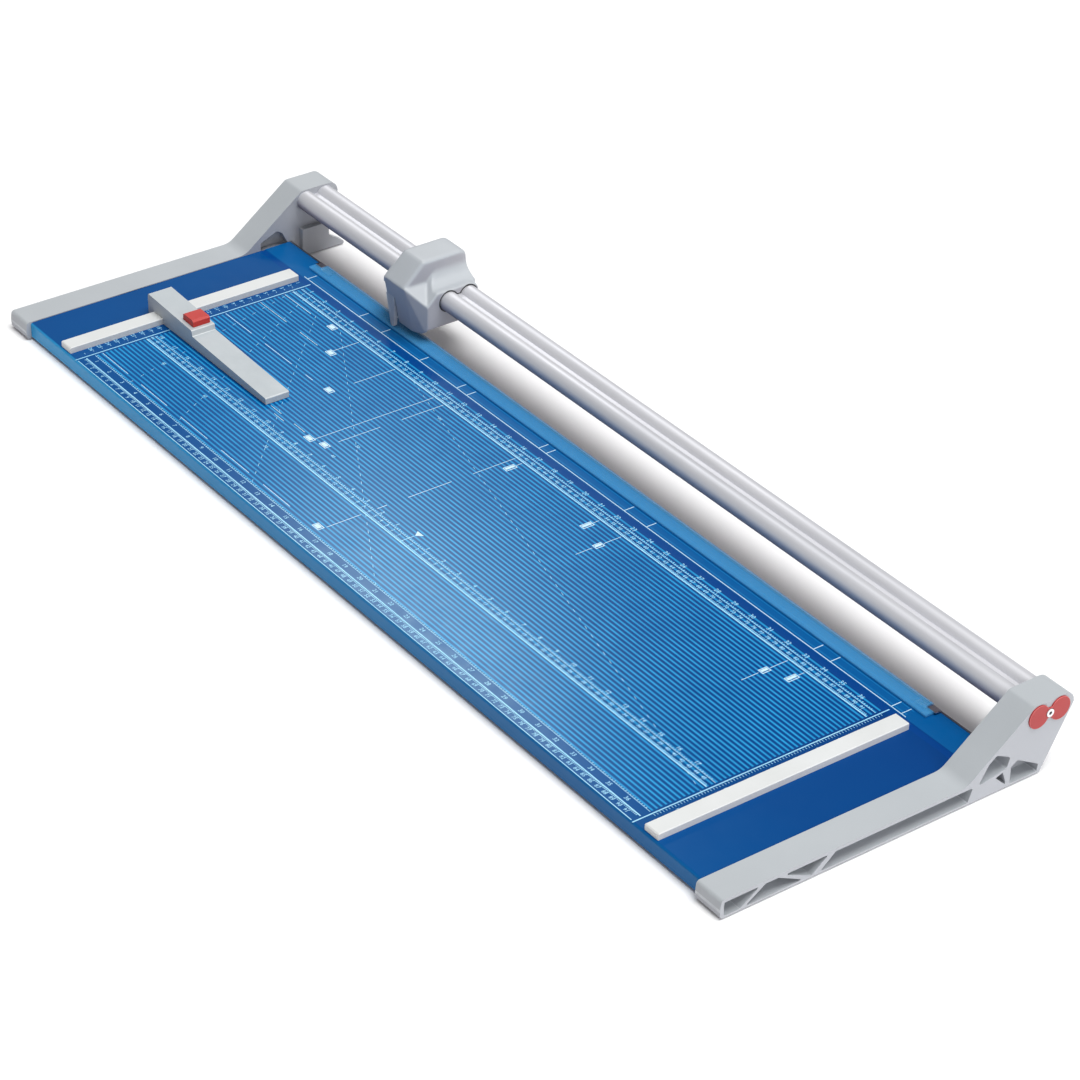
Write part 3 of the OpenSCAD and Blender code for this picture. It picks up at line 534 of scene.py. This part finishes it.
def dash_group(name, material):
    """Dashes along a straight line between two places."""
    group, given, out = new_group(name, {"From X": 0.0, "From Y": 0.0, "To X": 0.1, "To Y": 0.0, "Z": 0.0,
                                         "Step": 0.019, "Dash": 0.008, "Width": 0.0008, "Height": 0.00004})
    line = add(group, "GeometryNodeCurvePrimitiveLine", {
        "Start": at(group, given["From X"], given["From Y"], given["Z"]),
        "End": at(group, given["To X"], given["To Y"], given["Z"])})
    dots = add(group, "GeometryNodeResampleCurve", {"Curve": line.outputs["Curve"],
                                                    "Length": given["Step"]}, mode="LENGTH")
    bar = add(group, "GeometryNodeMeshCube", {"Size": at(group, given["Dash"], given["Width"],
                                                         given["Height"])})
    tangent = add(group, "GeometryNodeInputTangent").outputs["Tangent"]
    turn = add(group, "FunctionNodeAlignRotationToVector", {"Vector": tangent}, axis="X")
    spots = add(group, "GeometryNodeInstanceOnPoints", {"Points": dots.outputs["Curve"],
                                                        "Instance": bar.outputs["Mesh"],
                                                        "Rotation": turn.outputs["Rotation"]})
    return end_group(group, spots.outputs["Instances"], out, material)


def number_group(name, material):
    """Row of whole numbers, each counted on from the one before."""
    group, given, out = new_group(name, {"Count": 9, "First": 1, "Add": 1, "X": 0.0, "Y": 0.0, "Z": 0.0,
                                         "Step X": 0.01, "Step Y": 0.0, "Size": 0.003})
    start = group.nodes.new("GeometryNodeRepeatInput")
    stop = group.nodes.new("GeometryNodeRepeatOutput")
    start.pair_with_output(stop)
    group.links.new(given["Count"], start.inputs["Iterations"])
    step = start.outputs["Iteration"]
    number = times(group, step, given["Add"])
    number = times(group, number, given["First"], "ADD")
    words = add(group, "FunctionNodeValueToString", {"Value": number})
    letters = add(group, "GeometryNodeStringToCurves", {"String": words.outputs["String"],
                                                        "Size": given["Size"]},
                  align_x="CENTER", align_y="MIDDLE")
    curves = add(group, "GeometryNodeRealizeInstances", {"Geometry": letters.outputs["Curve Instances"]})
    coarse = add(group, "GeometryNodeSetSplineResolution", {"Geometry": curves.outputs["Geometry"],
                                                            "Resolution": 2})
    flat = add(group, "GeometryNodeFillCurve", {"Curve": coarse.outputs["Geometry"]})
    x = times(group, times(group, step, given["Step X"]), given["X"], "ADD")
    y = times(group, times(group, step, given["Step Y"]), given["Y"], "ADD")
    moved = add(group, "GeometryNodeTransform", {"Geometry": flat.outputs["Mesh"],
                                                 "Translation": at(group, x, y, given["Z"])})
    both = add(group, "GeometryNodeJoinGeometry")
    group.links.new(moved.outputs["Geometry"], both.inputs[0])
    group.links.new(start.outputs["Geometry"], both.inputs[0])
    group.links.new(both.outputs["Geometry"], stop.inputs["Geometry"])
    return end_group(group, stop.outputs["Geometry"], out, material)


def screw_row_group(name, screw, material):
    """Equal screws at equal steps along the cut."""
    group, given, out = new_group(name, {"Count": 13, "X": 0.0, "Step X": 0.01})
    line = add(group, "GeometryNodeMeshLine", {"Count": given["Count"],
                                               "Start Location": at(group, given["X"], 0.0, 0.0),
                                               "Offset": at(group, given["Step X"], 0.0, 0.0)})
    one = add(group, "GeometryNodeObjectInfo", {"Object": screw, "As Instance": True})
    spots = add(group, "GeometryNodeInstanceOnPoints", {"Points": line.outputs["Mesh"],
                                                        "Instance": one.outputs["Geometry"]})
    return end_group(group, spots.outputs["Instances"], out, material)


# ---------- built pieces with softened edges ----------

RECORD = frame["record"]
BODY_OF = {node: body for body, nodes in RECORD["behaviour"]["bodies"].items() for node in nodes}
SLOT_OF = {part["node"]: part["material_slot"] for part in RECORD["subparts"]}


def dress(node, material, edge=0.0, segments=2, angle=32):
    """Gives a built piece its material; with an edge width it is shown by a copy with rounded edges."""
    if not edge:
        mesh = NODES[node].data
        mesh.materials.clear()
        mesh.materials.append(material)
        return NODES[node]
    piece = bevel(copy_node(node, "soft_" + node), edge, segments, angle)
    return place(piece, BODY_OF[node], material, SLOT_OF[node], node)


def plain_piece(obj, node, material, *stands_for):
    return place(obj, BODY_OF[node], material, SLOT_OF[node], *stands_for)


# ---------- guide rail ----------

def figure_eight(radius, web, steps=72):
    """Outline across X of the two joined tubes."""
    reach = math.asin(web / radius)
    points = []
    for centre, first in ((TUBE_Y[0], reach), (TUBE_Y[1], reach - math.pi)):
        sweep = 2 * math.pi - 2 * reach
        for k in range(steps + 1):
            angle = first + sweep * k / steps
            points.append((centre + radius * math.cos(angle), RAIL_Z + radius * math.sin(angle)))
    return points


def circle(centre, radius, steps=48):
    turns = [2 * math.pi * k / steps for k in range(steps)]
    return [(centre[0] + radius * math.cos(t), centre[1] + radius * math.sin(t)) for t in turns]


def make_guide_rail():
    start, end = RAIL_LOW.x, RAIL_HIGH.x
    rail = prism("twin_tube_rail", figure_eight(TUBE_R, 4.5), "X", start, end)
    bores = [prism("bore", circle((y, RAIL_Z), r), "X", start - 1, end + 1)
             for y, r in ((TUBE_Y[0], TUBE_R - 2), (TUBE_Y[1], TUBE_R - 2), (RAIL_Y, 2.0))]
    combine(rail, joined("bores", bores), "DIFFERENCE")
    smooth(rail, 30)
    return plain_piece(rail, "guide_rail", TUBE_METAL, "guide_rail")


# ---------- cutting head ----------

GRIP_HALF = 18.0
HEAD_HALF = (HEAD_HIGH.x - HEAD_LOW.x) / 2
NOSE_Y = HEAD_LOW.y
BACK_Y = HEAD_HIGH.y
GRIP_Z = HEAD_HIGH.z
SKIRT_Z = HEAD_LOW.z
SIDE_Z = TABLE_Z + 17.5
SHOULDER_Z = RAIL_Z + TUBE_R + 1.4
SEAM_X = -3.0
SEAM_Z = RAIL_Z - 4.5


def grip_outline(inset=0.0):
    """Side view of the grip: flat top, slope to the nose, front leaning back."""
    return rounded([
        (NOSE_Y + 9.2 + inset, SKIRT_Z - 3 * inset, 0), (NOSE_Y + inset, RAIL_Z + 15 - inset, 2.5),
        (NOSE_Y + 24 + inset, GRIP_Z - inset, 6), (BACK_Y - inset, GRIP_Z - inset, 7),
        (BACK_Y - inset, SKIRT_Z - 3 * inset, 0)])


def shoulder_outline(inset=0.0):
    return rounded([
        (CUT_Y - 7 + inset, SIDE_Z - 3 * inset, 0), (CUT_Y - 7 + inset, RAIL_Z + 0.5 - inset, 2),
        (CUT_Y + 5 + inset, SHOULDER_Z + 0.6 - inset, 3), (BACK_Y - inset, SHOULDER_Z + 0.6 - inset, 11),
        (BACK_Y - inset, RAIL_Z - 10, 6), (BACK_Y - 16 - inset, SIDE_Z - 3 * inset, 3)])


def waist_side():
    return [(CUT_Y - 7, SIDE_Z), (CUT_Y - 7, RAIL_Z + 0.7), (CUT_Y + 5, SHOULDER_Z + 1.4),
            (CUT_Y + 14, SHOULDER_Z + 10.4), (CUT_Y + 20, GRIP_Z - 3.6), (BACK_Y - 5, GRIP_Z - 3.6),
            (BACK_Y - 0.6, GRIP_Z - 9), (BACK_Y - 0.6, SIDE_Z)]


def waist_front(steps=16):
    """Front view of the curve that runs from the grip down to each shoulder."""
    right = []
    for k in range(steps + 1):
        t = k / steps
        fall = (GRIP_Z - 3.4 - SHOULDER_Z) * t ** 0.8
        right.append((HEAD_X + GRIP_HALF - 0.3 + 16.3 * t ** 3, GRIP_Z - 3.4 - fall))
    left = [(2 * HEAD_X - x, z) for x, z in right]
    return left[::-1] + right + [(right[-1][0], SIDE_Z), (left[-1][0], SIDE_Z)]


def skirt_front():
    """Front view of the whole head below its shoulders: the lower edge sweeps up to the right end."""
    left, right = HEAD_X - HEAD_HALF, HEAD_X + HEAD_HALF
    return [(left, SKIRT_Z), (left, GRIP_Z + 1), (right, GRIP_Z + 1), (right, SIDE_Z),
            (right - 2, SKIRT_Z + 7), (right - 7, SKIRT_Z + 3.5), (right - 14, SKIRT_Z + 1),
            (right - 24, SKIRT_Z)]


def head_corner(side, end_y):
    """Front corner beside the grip: it turns from the leaning nose to the upright end face."""
    inner = HEAD_X + side * (GRIP_HALF - 0.5)
    outer = HEAD_X + side * (HEAD_HALF - 0.1)
    near = [(NOSE_Y + 9.2, SKIRT_Z), (NOSE_Y, RAIL_Z + 15), (NOSE_Y + 1, RAIL_Z + 16),
            (CUT_Y + 4, RAIL_Z + 16), (CUT_Y + 4, SKIRT_Z)]
    far = [(end_y, SKIRT_Z), (end_y, RAIL_Z), (CUT_Y + 4, RAIL_Z), (CUT_Y + 4, SKIRT_Z)]
    return hull_of("corner", [(inner, y, z) for y, z in near] + [(outer, y, z) for y, z in far])


def block(name, start, end):
    corners = [(x, y, z) for x in (start[0], end[0]) for y in (start[1], end[1])
               for z in (start[2], end[2])]
    return hull_of(name, corners)


def soft_prism(name, outline, half, radius, steps=5):
    """Solid across X about the head's middle whose end faces are rounded into its sides."""
    sections = []
    for side in (-1, 1):
        ends = []
        for k in range(steps + 1):
            turn = math.radians(90) * k / steps
            ends.append((HEAD_X + side * (half - radius + radius * math.cos(turn)),
                         outline(radius * (1 - math.sin(turn)))))
        sections += ends if side < 0 else ends[::-1]
    return loft(name, sections, "X")


def remesh(obj, size, rounds):
    """Rebuilds a solid from even small faces and softens its edges."""
    voxels = obj.modifiers.new("voxels", "REMESH")
    voxels.mode = "VOXEL"
    voxels.voxel_size = size * MM
    if rounds:
        relax = obj.modifiers.new("relax", "SMOOTH")
        relax.factor = 0.5
        relax.iterations = rounds
    return make_plain(obj)


def head_outside():
    """The head as one soft form."""
    size = 0.85
    grip = soft_prism("grip", grip_outline, GRIP_HALF, 3.2)
    shoulders = soft_prism("shoulders", shoulder_outline, HEAD_HALF, 1.6)
    waist = prism("waist", waist_side(), "X", HEAD_LOW.x, HEAD_HIGH.x)
    combine(waist, prism("waist_cut", waist_front(), "Y", NOSE_Y, BACK_Y), "INTERSECT")
    parts = [grip, shoulders, waist, head_corner(1, CUT_Y - 7), head_corner(-1, CUT_Y + 3)]
    mass = remesh(joined("head_mass", parts), size, 0)
    combine(mass, prism("skirt_cut", skirt_front(), "Y", NOSE_Y - 1, BACK_Y + 1), "INTERSECT")
    return remesh(mass, size, 9)


def head_hollow():
    """Space inside the housing, open underneath."""
    wall = 2.5
    reach = HEAD_HALF - wall
    wide = prism("wide_space", [
        (CUT_Y - 4.5, SIDE_Z - 20), (CUT_Y - 4.5, RAIL_Z - 2), (CUT_Y + 6, SHOULDER_Z - 2.4),
        (BACK_Y - 10, SHOULDER_Z - 2.4), (BACK_Y - wall, SHOULDER_Z - 10), (BACK_Y - wall, SIDE_Z - 20)],
        "X", HEAD_X - reach, HEAD_X + reach)
    tall = prism("tall_space", grip_outline(wall), "X", HEAD_X - GRIP_HALF + wall,
                 HEAD_X + GRIP_HALF - wall)
    combine(wide, tall, "UNION")
    return wide


def make_head():
    head = head_outside()
    combine(head, head_hollow(), "DIFFERENCE")
    for x in (HEAD_X - 14, HEAD_X + 14):
        post = prism("post", circle((x, RAIL_Z + 4), 3.6, 24), "Y", NOSE_Y + 3, CUT_Y - 9.1)
        combine(head, post, "UNION")
    cuts = [
        block("under_cut", (HEAD_LOW.x - 1, CUT_Y - 6.9, SKIRT_Z - 12),
              (HEAD_HIGH.x + 1, BACK_Y + 1, SIDE_Z)),
        block("shoe_cut", (HEAD_LOW.x - 1, NOSE_Y - 3, SKIRT_Z - 12), (HEAD_X + SEAM_X, CUT_Y - 2, SEAM_Z)),
        prism("tube_way", figure_eight(TUBE_R + 1.45, 5.9, 48), "X", HEAD_LOW.x - 1, HEAD_HIGH.x + 1)]
    for cut in cuts:
        combine(head, cut, "DIFFERENCE")
    smooth(head, 38)
    return plain_piece(head, "head_housing", HEAD_GREY, "head_housing")


# ---------- printed table ----------

PRINT_LIFT = 0.03
INCH = 24.8
CENTIMETRE = 9.79
SCALE_X = 452.0


def printed(obj, material=None):
    """Gives a flat print its small thickness and lays it on the table."""
    shell = obj.modifiers.new("ink", "SOLIDIFY")
    shell.thickness = 0.05 * MM
    shell.offset = -1
    make_plain(obj)
    return plain_piece(obj, "table_plate", material or PRINT)


def flat_shapes(name, outlines, z):
    """Flat closed shapes, each one face."""
    bm = bmesh.new()
    for outline in outlines:
        face = bm.faces.new([bm.verts.new((x * MM, y * MM, z * MM)) for x, y in outline])
        if face.normal.z < 0:
            face.normal_flip()
        face.normal_update()
        if face.normal.z < 0:
            face.normal_flip()
    mesh = bpy.data.meshes.new(name)
    bm.to_mesh(mesh)
    bm.free()
    return link_object(name, mesh)


def bar(x0, x1, y0, y1):
    return [(x0, y0), (x1, y0), (x1, y1), (x0, y1)]


def line_x(x0, x1, y, width=0.6):
    return bar(x0, x1, y - width / 2, y + width / 2)


def line_y(x, y0, y1, width=0.6):
    return bar(x - width / 2, x + width / 2, y0, y1)


def icon(x, y, width, height, pen=0.9):
    """Small sheet symbol: an outline that is filled but for a narrow gap."""
    left, right, bottom, top = x - width / 2, x + width / 2, y - height / 2, y + height / 2
    return [bar(left, right, bottom, bottom + pen), bar(left, right, top - pen, top),
            bar(left, left + pen, bottom + pen, top - pen),
            bar(right - pen, right, bottom + pen, top - pen),
            bar(left + pen * 1.6, right - pen * 2.6, bottom + pen * 1.5, top - pen * 1.5)]


def scale_frames():
    """Long lines that frame the scales and the two sides of the printed field."""
    shapes = []
    for y, width in ((69.75, 1.2), (79.75, 0.5), (-104.25, 1.2), (-94.75, 0.5), (-173.25, 1.2),
                     (-163.25, 0.5), (-182.6, 0.9)):
        shapes.append(line_x(-SCALE_X, SCALE_X, y, width))
    for side in (-1, 1):
        shapes.append(line_y(side * (SCALE_X + 3), -184, 93, 1.2))
    shapes.append(line_y(0, -103.5, -88.2, 0.7))
    return shapes


def dashes_across(y, end, pitch=74.6, dash=49.4):
    """Dashes that run from the left of the field to a place where the last one is cut short."""
    shapes = []
    start = -SCALE_X
    while start < end:
        shapes.append(line_x(start, min(start + dash, end), y))
        start += pitch
    return shapes


def sheet_format_marks():
    """Lines and symbols that show where common sheets lie."""
    shapes = [[(-5, -81), (0, -87.3), (5, -81)]]
    for y, end, gap in ((59.75, -403, 35.5), (30.25, -345, 20), (-11.25, -290, 25.5),
                        (-154.75, -107, 43.5)):
        shapes += dashes_across(y, end)
        shapes += icon(end + gap, y + 2.8, 11, 7.4)
    shapes += [line_x(-272, -253, -71.25), line_x(-230, -211, -71.25), line_x(-257, -240, -76.75)]
    shapes += icon(-199, -73.75, 12, 7) + icon(-180.5, -68.25, 11, 7)
    for x, y in ((-47, 53.75), (75, 53.75), (371.5, 53.75)):
        shapes += icon(x, y, 7, 13)
        shapes.append(line_y(x, y + 7.4, 67.75))
    for x, y in ((108.5, 41.75), (349, 41.75)):
        shapes += icon(x, y, 7, 10)
        shapes.append(line_y(x, y + 6, 67.75))
        shapes.append(line_y(x, y - 26, y - 7))
    for x, reaches in ((-327, ((36.75, 67.75),)), (-262, ((18.75, 67.75),)), (-195, ((-70.25, 67.75),)),
                       (-178, ((18.75, 67.75), (-54.25, -6.25))),
                       (-58, ((18.75, 67.75), (-55.25, -6.25), (-90, -79.25), (-146.25, -108)))):
        for start, end in reaches:
            shapes.append(line_y(x, start, end))
    return shapes


def band_marks():
    """Short marks beside the cutting line."""
    places = (-466, -370, -330, -262, -197, -180, -60, -48, 75, 109, 349, 372, 453, 466)
    return [line_y(x, BAND_Y + 3, CUT_Y - 19.5, 0.9) for x in places]


def make_marks():
    printed(flat_shapes("field_frames", scale_frames(), TABLE_Z + PRINT_LIFT))
    printed(flat_shapes("sheet_marks", sheet_format_marks(), TABLE_Z + PRINT_LIFT), LABEL_PRINT)
    edge = [line_x(-SCALE_X - 20, SCALE_X + 20, CUT_Y - 31.2, 0.8)]
    printed(flat_shapes("band_marks", band_marks() + edge, BAND_Z + PRINT_LIFT), LABEL_PRINT)


def make_ticks():
    """Divisions of the three long scales and of the two short ones."""
    group = bar_row_group("division_row", PRINT)
    rows = []
    millimetres = round(2 * (SCALE_X - 2) / (CENTIMETRE / 5))
    sixteenths = round(2 * (SCALE_X - 2) / (INCH / 8))
    for y, first, count, step, size in (
            (71.6, -450.0, millimetres, CENTIMETRE / 5, 1.5), (80.8, -450.0, sixteenths, INCH / 8, 1.3),
            (-102.4, -450.0, millimetres, CENTIMETRE / 5, 1.5), (-93.7, -450.0, sixteenths, INCH / 8, 1.3),
            (-162.2, -450.0, sixteenths, INCH / 8, 1.3),
            (-174.9, -450.0, millimetres, CENTIMETRE / 5, 1.5)):
        rows.append(from_group("divisions", group, **{
            "Count": count, "X": first * MM, "Y": y * MM, "Z": (TABLE_Z + 0.01) * MM, "Step X": step * MM,
            "Bar X": 0.75 * MM, "Bar Y": size * MM, "Height": 0.05 * MM, "Long": 1.9}))
    for x, first, count, step in ((-461.0, -170.0, 26, CENTIMETRE), (457.5, -163.0, 80, INCH / 8)):
        rows.append(from_group("divisions", group, **{
            "Count": count, "X": x * MM, "Y": first * MM, "Z": (TABLE_Z + 0.01) * MM, "Step X": 0.0,
            "Step Y": step * MM, "Bar X": 2.4 * MM, "Bar Y": 0.5 * MM, "Height": 0.05 * MM, "Long": 1.0}))
    plain_piece(joined("scale_divisions", rows), "table_plate", PRINT)


def make_numbers():
    """Number rows of the scales."""
    group = number_group("number_row", PRINT)
    rows = []
    per_side = int(SCALE_X / CENTIMETRE)
    inches = int(SCALE_X / INCH)
    for y, first, plus, x, step, count, size in (
            (75.6, 1, 1, -SCALE_X + 10, CENTIMETRE, 2 * per_side - 1, 5.4),
            (85.2, 1, 1, -SCALE_X + 11, INCH, 2 * inches, 6.8),
            (-98.3, per_side, -1, -per_side * CENTIMETRE, CENTIMETRE, per_side, 5.2),
            (-98.3, 1, 1, CENTIMETRE, CENTIMETRE, per_side - 1, 5.2),
            (-90.0, inches, -1, -inches * INCH, INCH, inches, 6.2),
            (-90.0, 1, 1, INCH, INCH, inches - 1, 6.2),
            (-168.0, 1, 1, -SCALE_X + 11, INCH, 2 * inches, 6.0),
            (-178.4, 1, 1, -SCALE_X + 10, CENTIMETRE, 2 * per_side - 1, 5.4)):
        rows.append(from_group("numbers", group, **{
            "Count": count, "First": first, "Add": plus, "X": x * MM, "Y": y * MM,
            "Z": (TABLE_Z + PRINT_LIFT) * MM, "Step X": step * MM, "Size": size * MM}))
    rows.append(from_group("numbers", group, **{
        "Count": 26, "First": 1, "Add": 1, "X": -465.5 * MM, "Y": 84 * MM, "Z": (TABLE_Z + PRINT_LIFT) * MM,
        "Step X": 0.0, "Step Y": -CENTIMETRE * MM, "Size": 6.0 * MM}))
    rows.append(from_group("numbers", group, **{
        "Count": 10, "First": 1, "Add": 1, "X": 463 * MM, "Y": 80.7 * MM, "Z": (TABLE_Z + PRINT_LIFT) * MM,
        "Step X": 0.0, "Step Y": -INCH * MM, "Size": 5.0 * MM}))
    for number, x, y in ((45, -400, -115.25), (60, -323, -114.75), (30, -210, -116.25), (75, -158, 49.75),
                         (50, -160, -44.25), (40, -159, -73.25)):
        rows.append(from_group("numbers", group, **{
            "Count": 1, "First": number, "Add": 0, "X": x * MM, "Y": y * MM,
            "Z": (TABLE_Z + PRINT_LIFT) * MM, "Size": 5.0 * MM}))
    printed(joined("scale_numbers", rows))


def make_diagonals():
    """Dashed lines for slanting cuts."""
    group = dash_group("dashed_line", PRINT)
    lines = []
    for x0, y0, x1, y1 in ((-230, 68.75, 455, -112.25), (-365, 69.75, 45, -161.25),
                           (-405, 69.75, -165, -159.25), (-432, 69.75, -300, -156.25),
                           (-452, 69.75, -388, -159.25)):
        lines.append(from_group("dashes", group, **{
            "From X": x0 * MM, "From Y": y0 * MM, "To X": x1 * MM, "To Y": y1 * MM,
            "Z": (TABLE_Z + 0.01) * MM, "Step": 14 * MM, "Dash": 4.6 * MM, "Width": 0.38 * MM,
            "Height": 0.05 * MM}))
    plain_piece(joined("slanting_dashes", lines), "table_plate", PRINT)


# ---------- screws that repeat along the cut ----------

def lathe_y(name, profile, steps=28):
    """Turned piece on the Y axis at the origin, from (radius, y) pairs that start and end on the axis."""
    bm = bmesh.new()
    rings = []
    for radius, y in profile:
        if radius <= 0:
            rings.append([bm.verts.new((0, y * MM, 0))])
            continue
        rings.append([bm.verts.new((radius * MM * math.cos(2 * math.pi * k / steps), y * MM,
                                    radius * MM * math.sin(2 * math.pi * k / steps)))
                      for k in range(steps)])
    for one, two in zip(rings, rings[1:]):
        for k in range(steps):
            n = (k + 1) % steps
            corners = [one[k % len(one)], one[n % len(one)], two[n % len(two)], two[k % len(two)]]
            unique = list(dict.fromkeys(corners))
            bm.faces.new(unique)
    bmesh.ops.recalc_face_normals(bm, faces=bm.faces)
    mesh = bpy.data.meshes.new(name)
    bm.to_mesh(mesh)
    bm.free()
    return link_object(name, mesh)


def make_counter_screws():
    """Countersunk screws with a cross slot, all alike, at equal steps along the lower blade."""
    start, end = low("counter_blade_screws"), high("counter_blade_screws")
    head_r = (end.z - start.z) / 2
    back = end.y
    screw = lathe_y("screw", [(0, start.y), (1.2, start.y), (1.45, start.y + 0.4), (1.45, back - 1.25),
                              (head_r - 0.1, back - 0.15), (head_r - 0.25, back), (0, back)])
    for turn in (0, 90):
        slot = block("slot", (-1.7, back - 0.7, -0.3), (1.7, back + 1, 0.3))
        slot.data.transform(Matrix.Rotation(math.radians(turn), 4, "Y"))
        combine(screw, slot, "DIFFERENCE")
    screw.data.transform(Matrix.Translation((0, 0, (start.z + end.z) / 2 * MM)))
    smooth(screw, 30)
    count = 13
    group = screw_row_group("screw_row", screw, BRIGHT_STEEL)
    row = from_group("blade_screws", group, **{
        "Count": count, "X": (start.x + head_r) * MM,
        "Step X": (end.x - start.x - 2 * head_r) / (count - 1) * MM})
    bpy.data.objects.remove(screw)
    return plain_piece(row, "counter_blade_screws", BRIGHT_STEEL, "counter_blade_screws")


def make_button_spring():
    """Coil under the button, given a mesh of its own; this function does not shorten it by the button's
    travel.
    """
    spring = smooth(copy_node("backstop_spring", "button_coil"), 60)
    plain_piece(spring, "backstop_spring", STEEL, "backstop_spring")
    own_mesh(spring)


# ---------- everything in its place ----------

def make_pieces():
    dress("table_plate", BLUE, 0.35, 2)
    dress("table_stiffener", GALVANISED)
    dress("counter_blade", GROUND_STEEL)
    dress("clamp_strip", CLEAR)
    for side in ("left", "right"):
        dress("end_frame_" + side, FRAME_GREY, 0.8, 3)
        dress("end_cap_" + side, CAP_RED, 0.5, 3)
        dress("rail_screw_" + side, CAP_SCREW)
        dress("paper_rail_" + side, RAIL_WHITE, 0.7, 3)
        dress("strip_spring_" + side, STEEL)
        dress("head_glide_" + side, DARK_PLASTIC)
    for node in ("table_screws", "paper_rail_screws", "carrier_screws", "backstop_plate_screws",
                 "blade_axle", "blade_nut"):
        dress(node, STEEL)
    dress("rubber_feet", RUBBER, 0.3)
    dress("blade_carrier", CASTING, 0.5)
    dress("pressure_shoe", HEAD_GREY, 0.6, 3)
    dress("blade_hub", DARK_PLASTIC, 0.4)
    dress("blade_clamp_ring", DARK_PLASTIC, 0.3)
    dress("round_blade", BRIGHT_STEEL)
    dress("blade_spring", STEEL)
    dress("backstop_body", STOP_GREY, 1.1, 3)
    dress("backstop_button", BUTTON_RED, 0.9, 3)
    make_button_spring()
    dress("backstop_plate", GALVANISED)
    dress("lock_shoe", ORANGE)
    make_guide_rail()
    make_counter_screws()
    make_head()
    make_marks()
    make_ticks()
    make_numbers()
    make_diagonals()


# ---------- floor, light and camera ----------

def make_floor():
    floor = flat_shapes("floor", [bar(-9000, 9000, -9000, 9000)], -0.3)
    material = bpy.data.materials.new("studio_white")
    material.use_nodes = True
    shader = material.node_tree.nodes["Principled BSDF"]
    shader.inputs["Base Color"].default_value = srgb(253, 253, 253)
    shader.inputs["Roughness"].default_value = 0.9
    shader.inputs["Specular IOR Level"].default_value = 0.1
    floor.data.materials.append(material)


def soft_light(name, place_at, aim, size, power, colour=(1, 1, 1)):
    lamp = bpy.data.lights.new(name, "AREA")
    lamp.shape = "RECTANGLE"
    lamp.size = size[0]
    lamp.size_y = size[1]
    lamp.energy = power
    lamp.color = colour
    obj = bpy.data.objects.new(name, lamp)
    obj.location = place_at
    way = Vector(aim) - Vector(place_at)
    obj.rotation_euler = way.to_track_quat("-Z", "Y").to_euler()
    bpy.context.scene.collection.objects.link(obj)
    return obj


def make_light():
    scene = bpy.context.scene
    world = bpy.data.worlds.new("studio")
    world.use_nodes = True
    world.node_tree.nodes["Background"].inputs["Color"].default_value = (1, 1, 1, 1)
    world.node_tree.nodes["Background"].inputs["Strength"].default_value = 0.32
    scene.world = world
    scene.view_settings.view_transform = "Standard"
    high_lamp = bpy.data.lights.new("high_lamp", "SUN")
    high_lamp.energy = 2.6
    high_lamp.angle = math.radians(40)
    obj = bpy.data.objects.new("high_lamp", high_lamp)
    obj.rotation_euler = Vector((-0.22, -0.12, -1)).to_track_quat("-Z", "Y").to_euler()
    scene.collection.objects.link(obj)
    sheen = soft_light("sheen", (-1.92, 1.22, 1.78), (-1.92, 1.22, 0), (0.75, 0.2), 15)
    sheen.visible_diffuse = False
    soft_light("right_side", (3.0, 0.1, 0.9), (0.55, 0, 0), (1.6, 1.0), 26)


ROLL = 1.29


def make_camera():
    """The viewing place, its aim and its small roll."""
    place_at = Vector((2.20511, -1.59325, 1.74644))
    aim = Vector((0.04455, 0.02253, 0.00086))
    back = (place_at - aim).normalized()
    right = Vector((0, 0, 1)).cross(back).normalized()
    up = back.cross(right)
    turn = Matrix((right, up, back)).transposed() @ Matrix.Rotation(math.radians(ROLL), 3, "Z")
    data = bpy.data.cameras.new("camera")
    data.sensor_width = 36
    data.lens = 115.45
    data.shift_y = -0.0029
    data.clip_end = 100
    obj = bpy.data.objects.new("camera", data)
    obj.matrix_world = Matrix.Translation(place_at) @ turn.to_4x4()
    bpy.context.scene.collection.objects.link(obj)
    bpy.context.scene.camera = obj


make_pieces()
make_floor()
make_light()
make_camera()
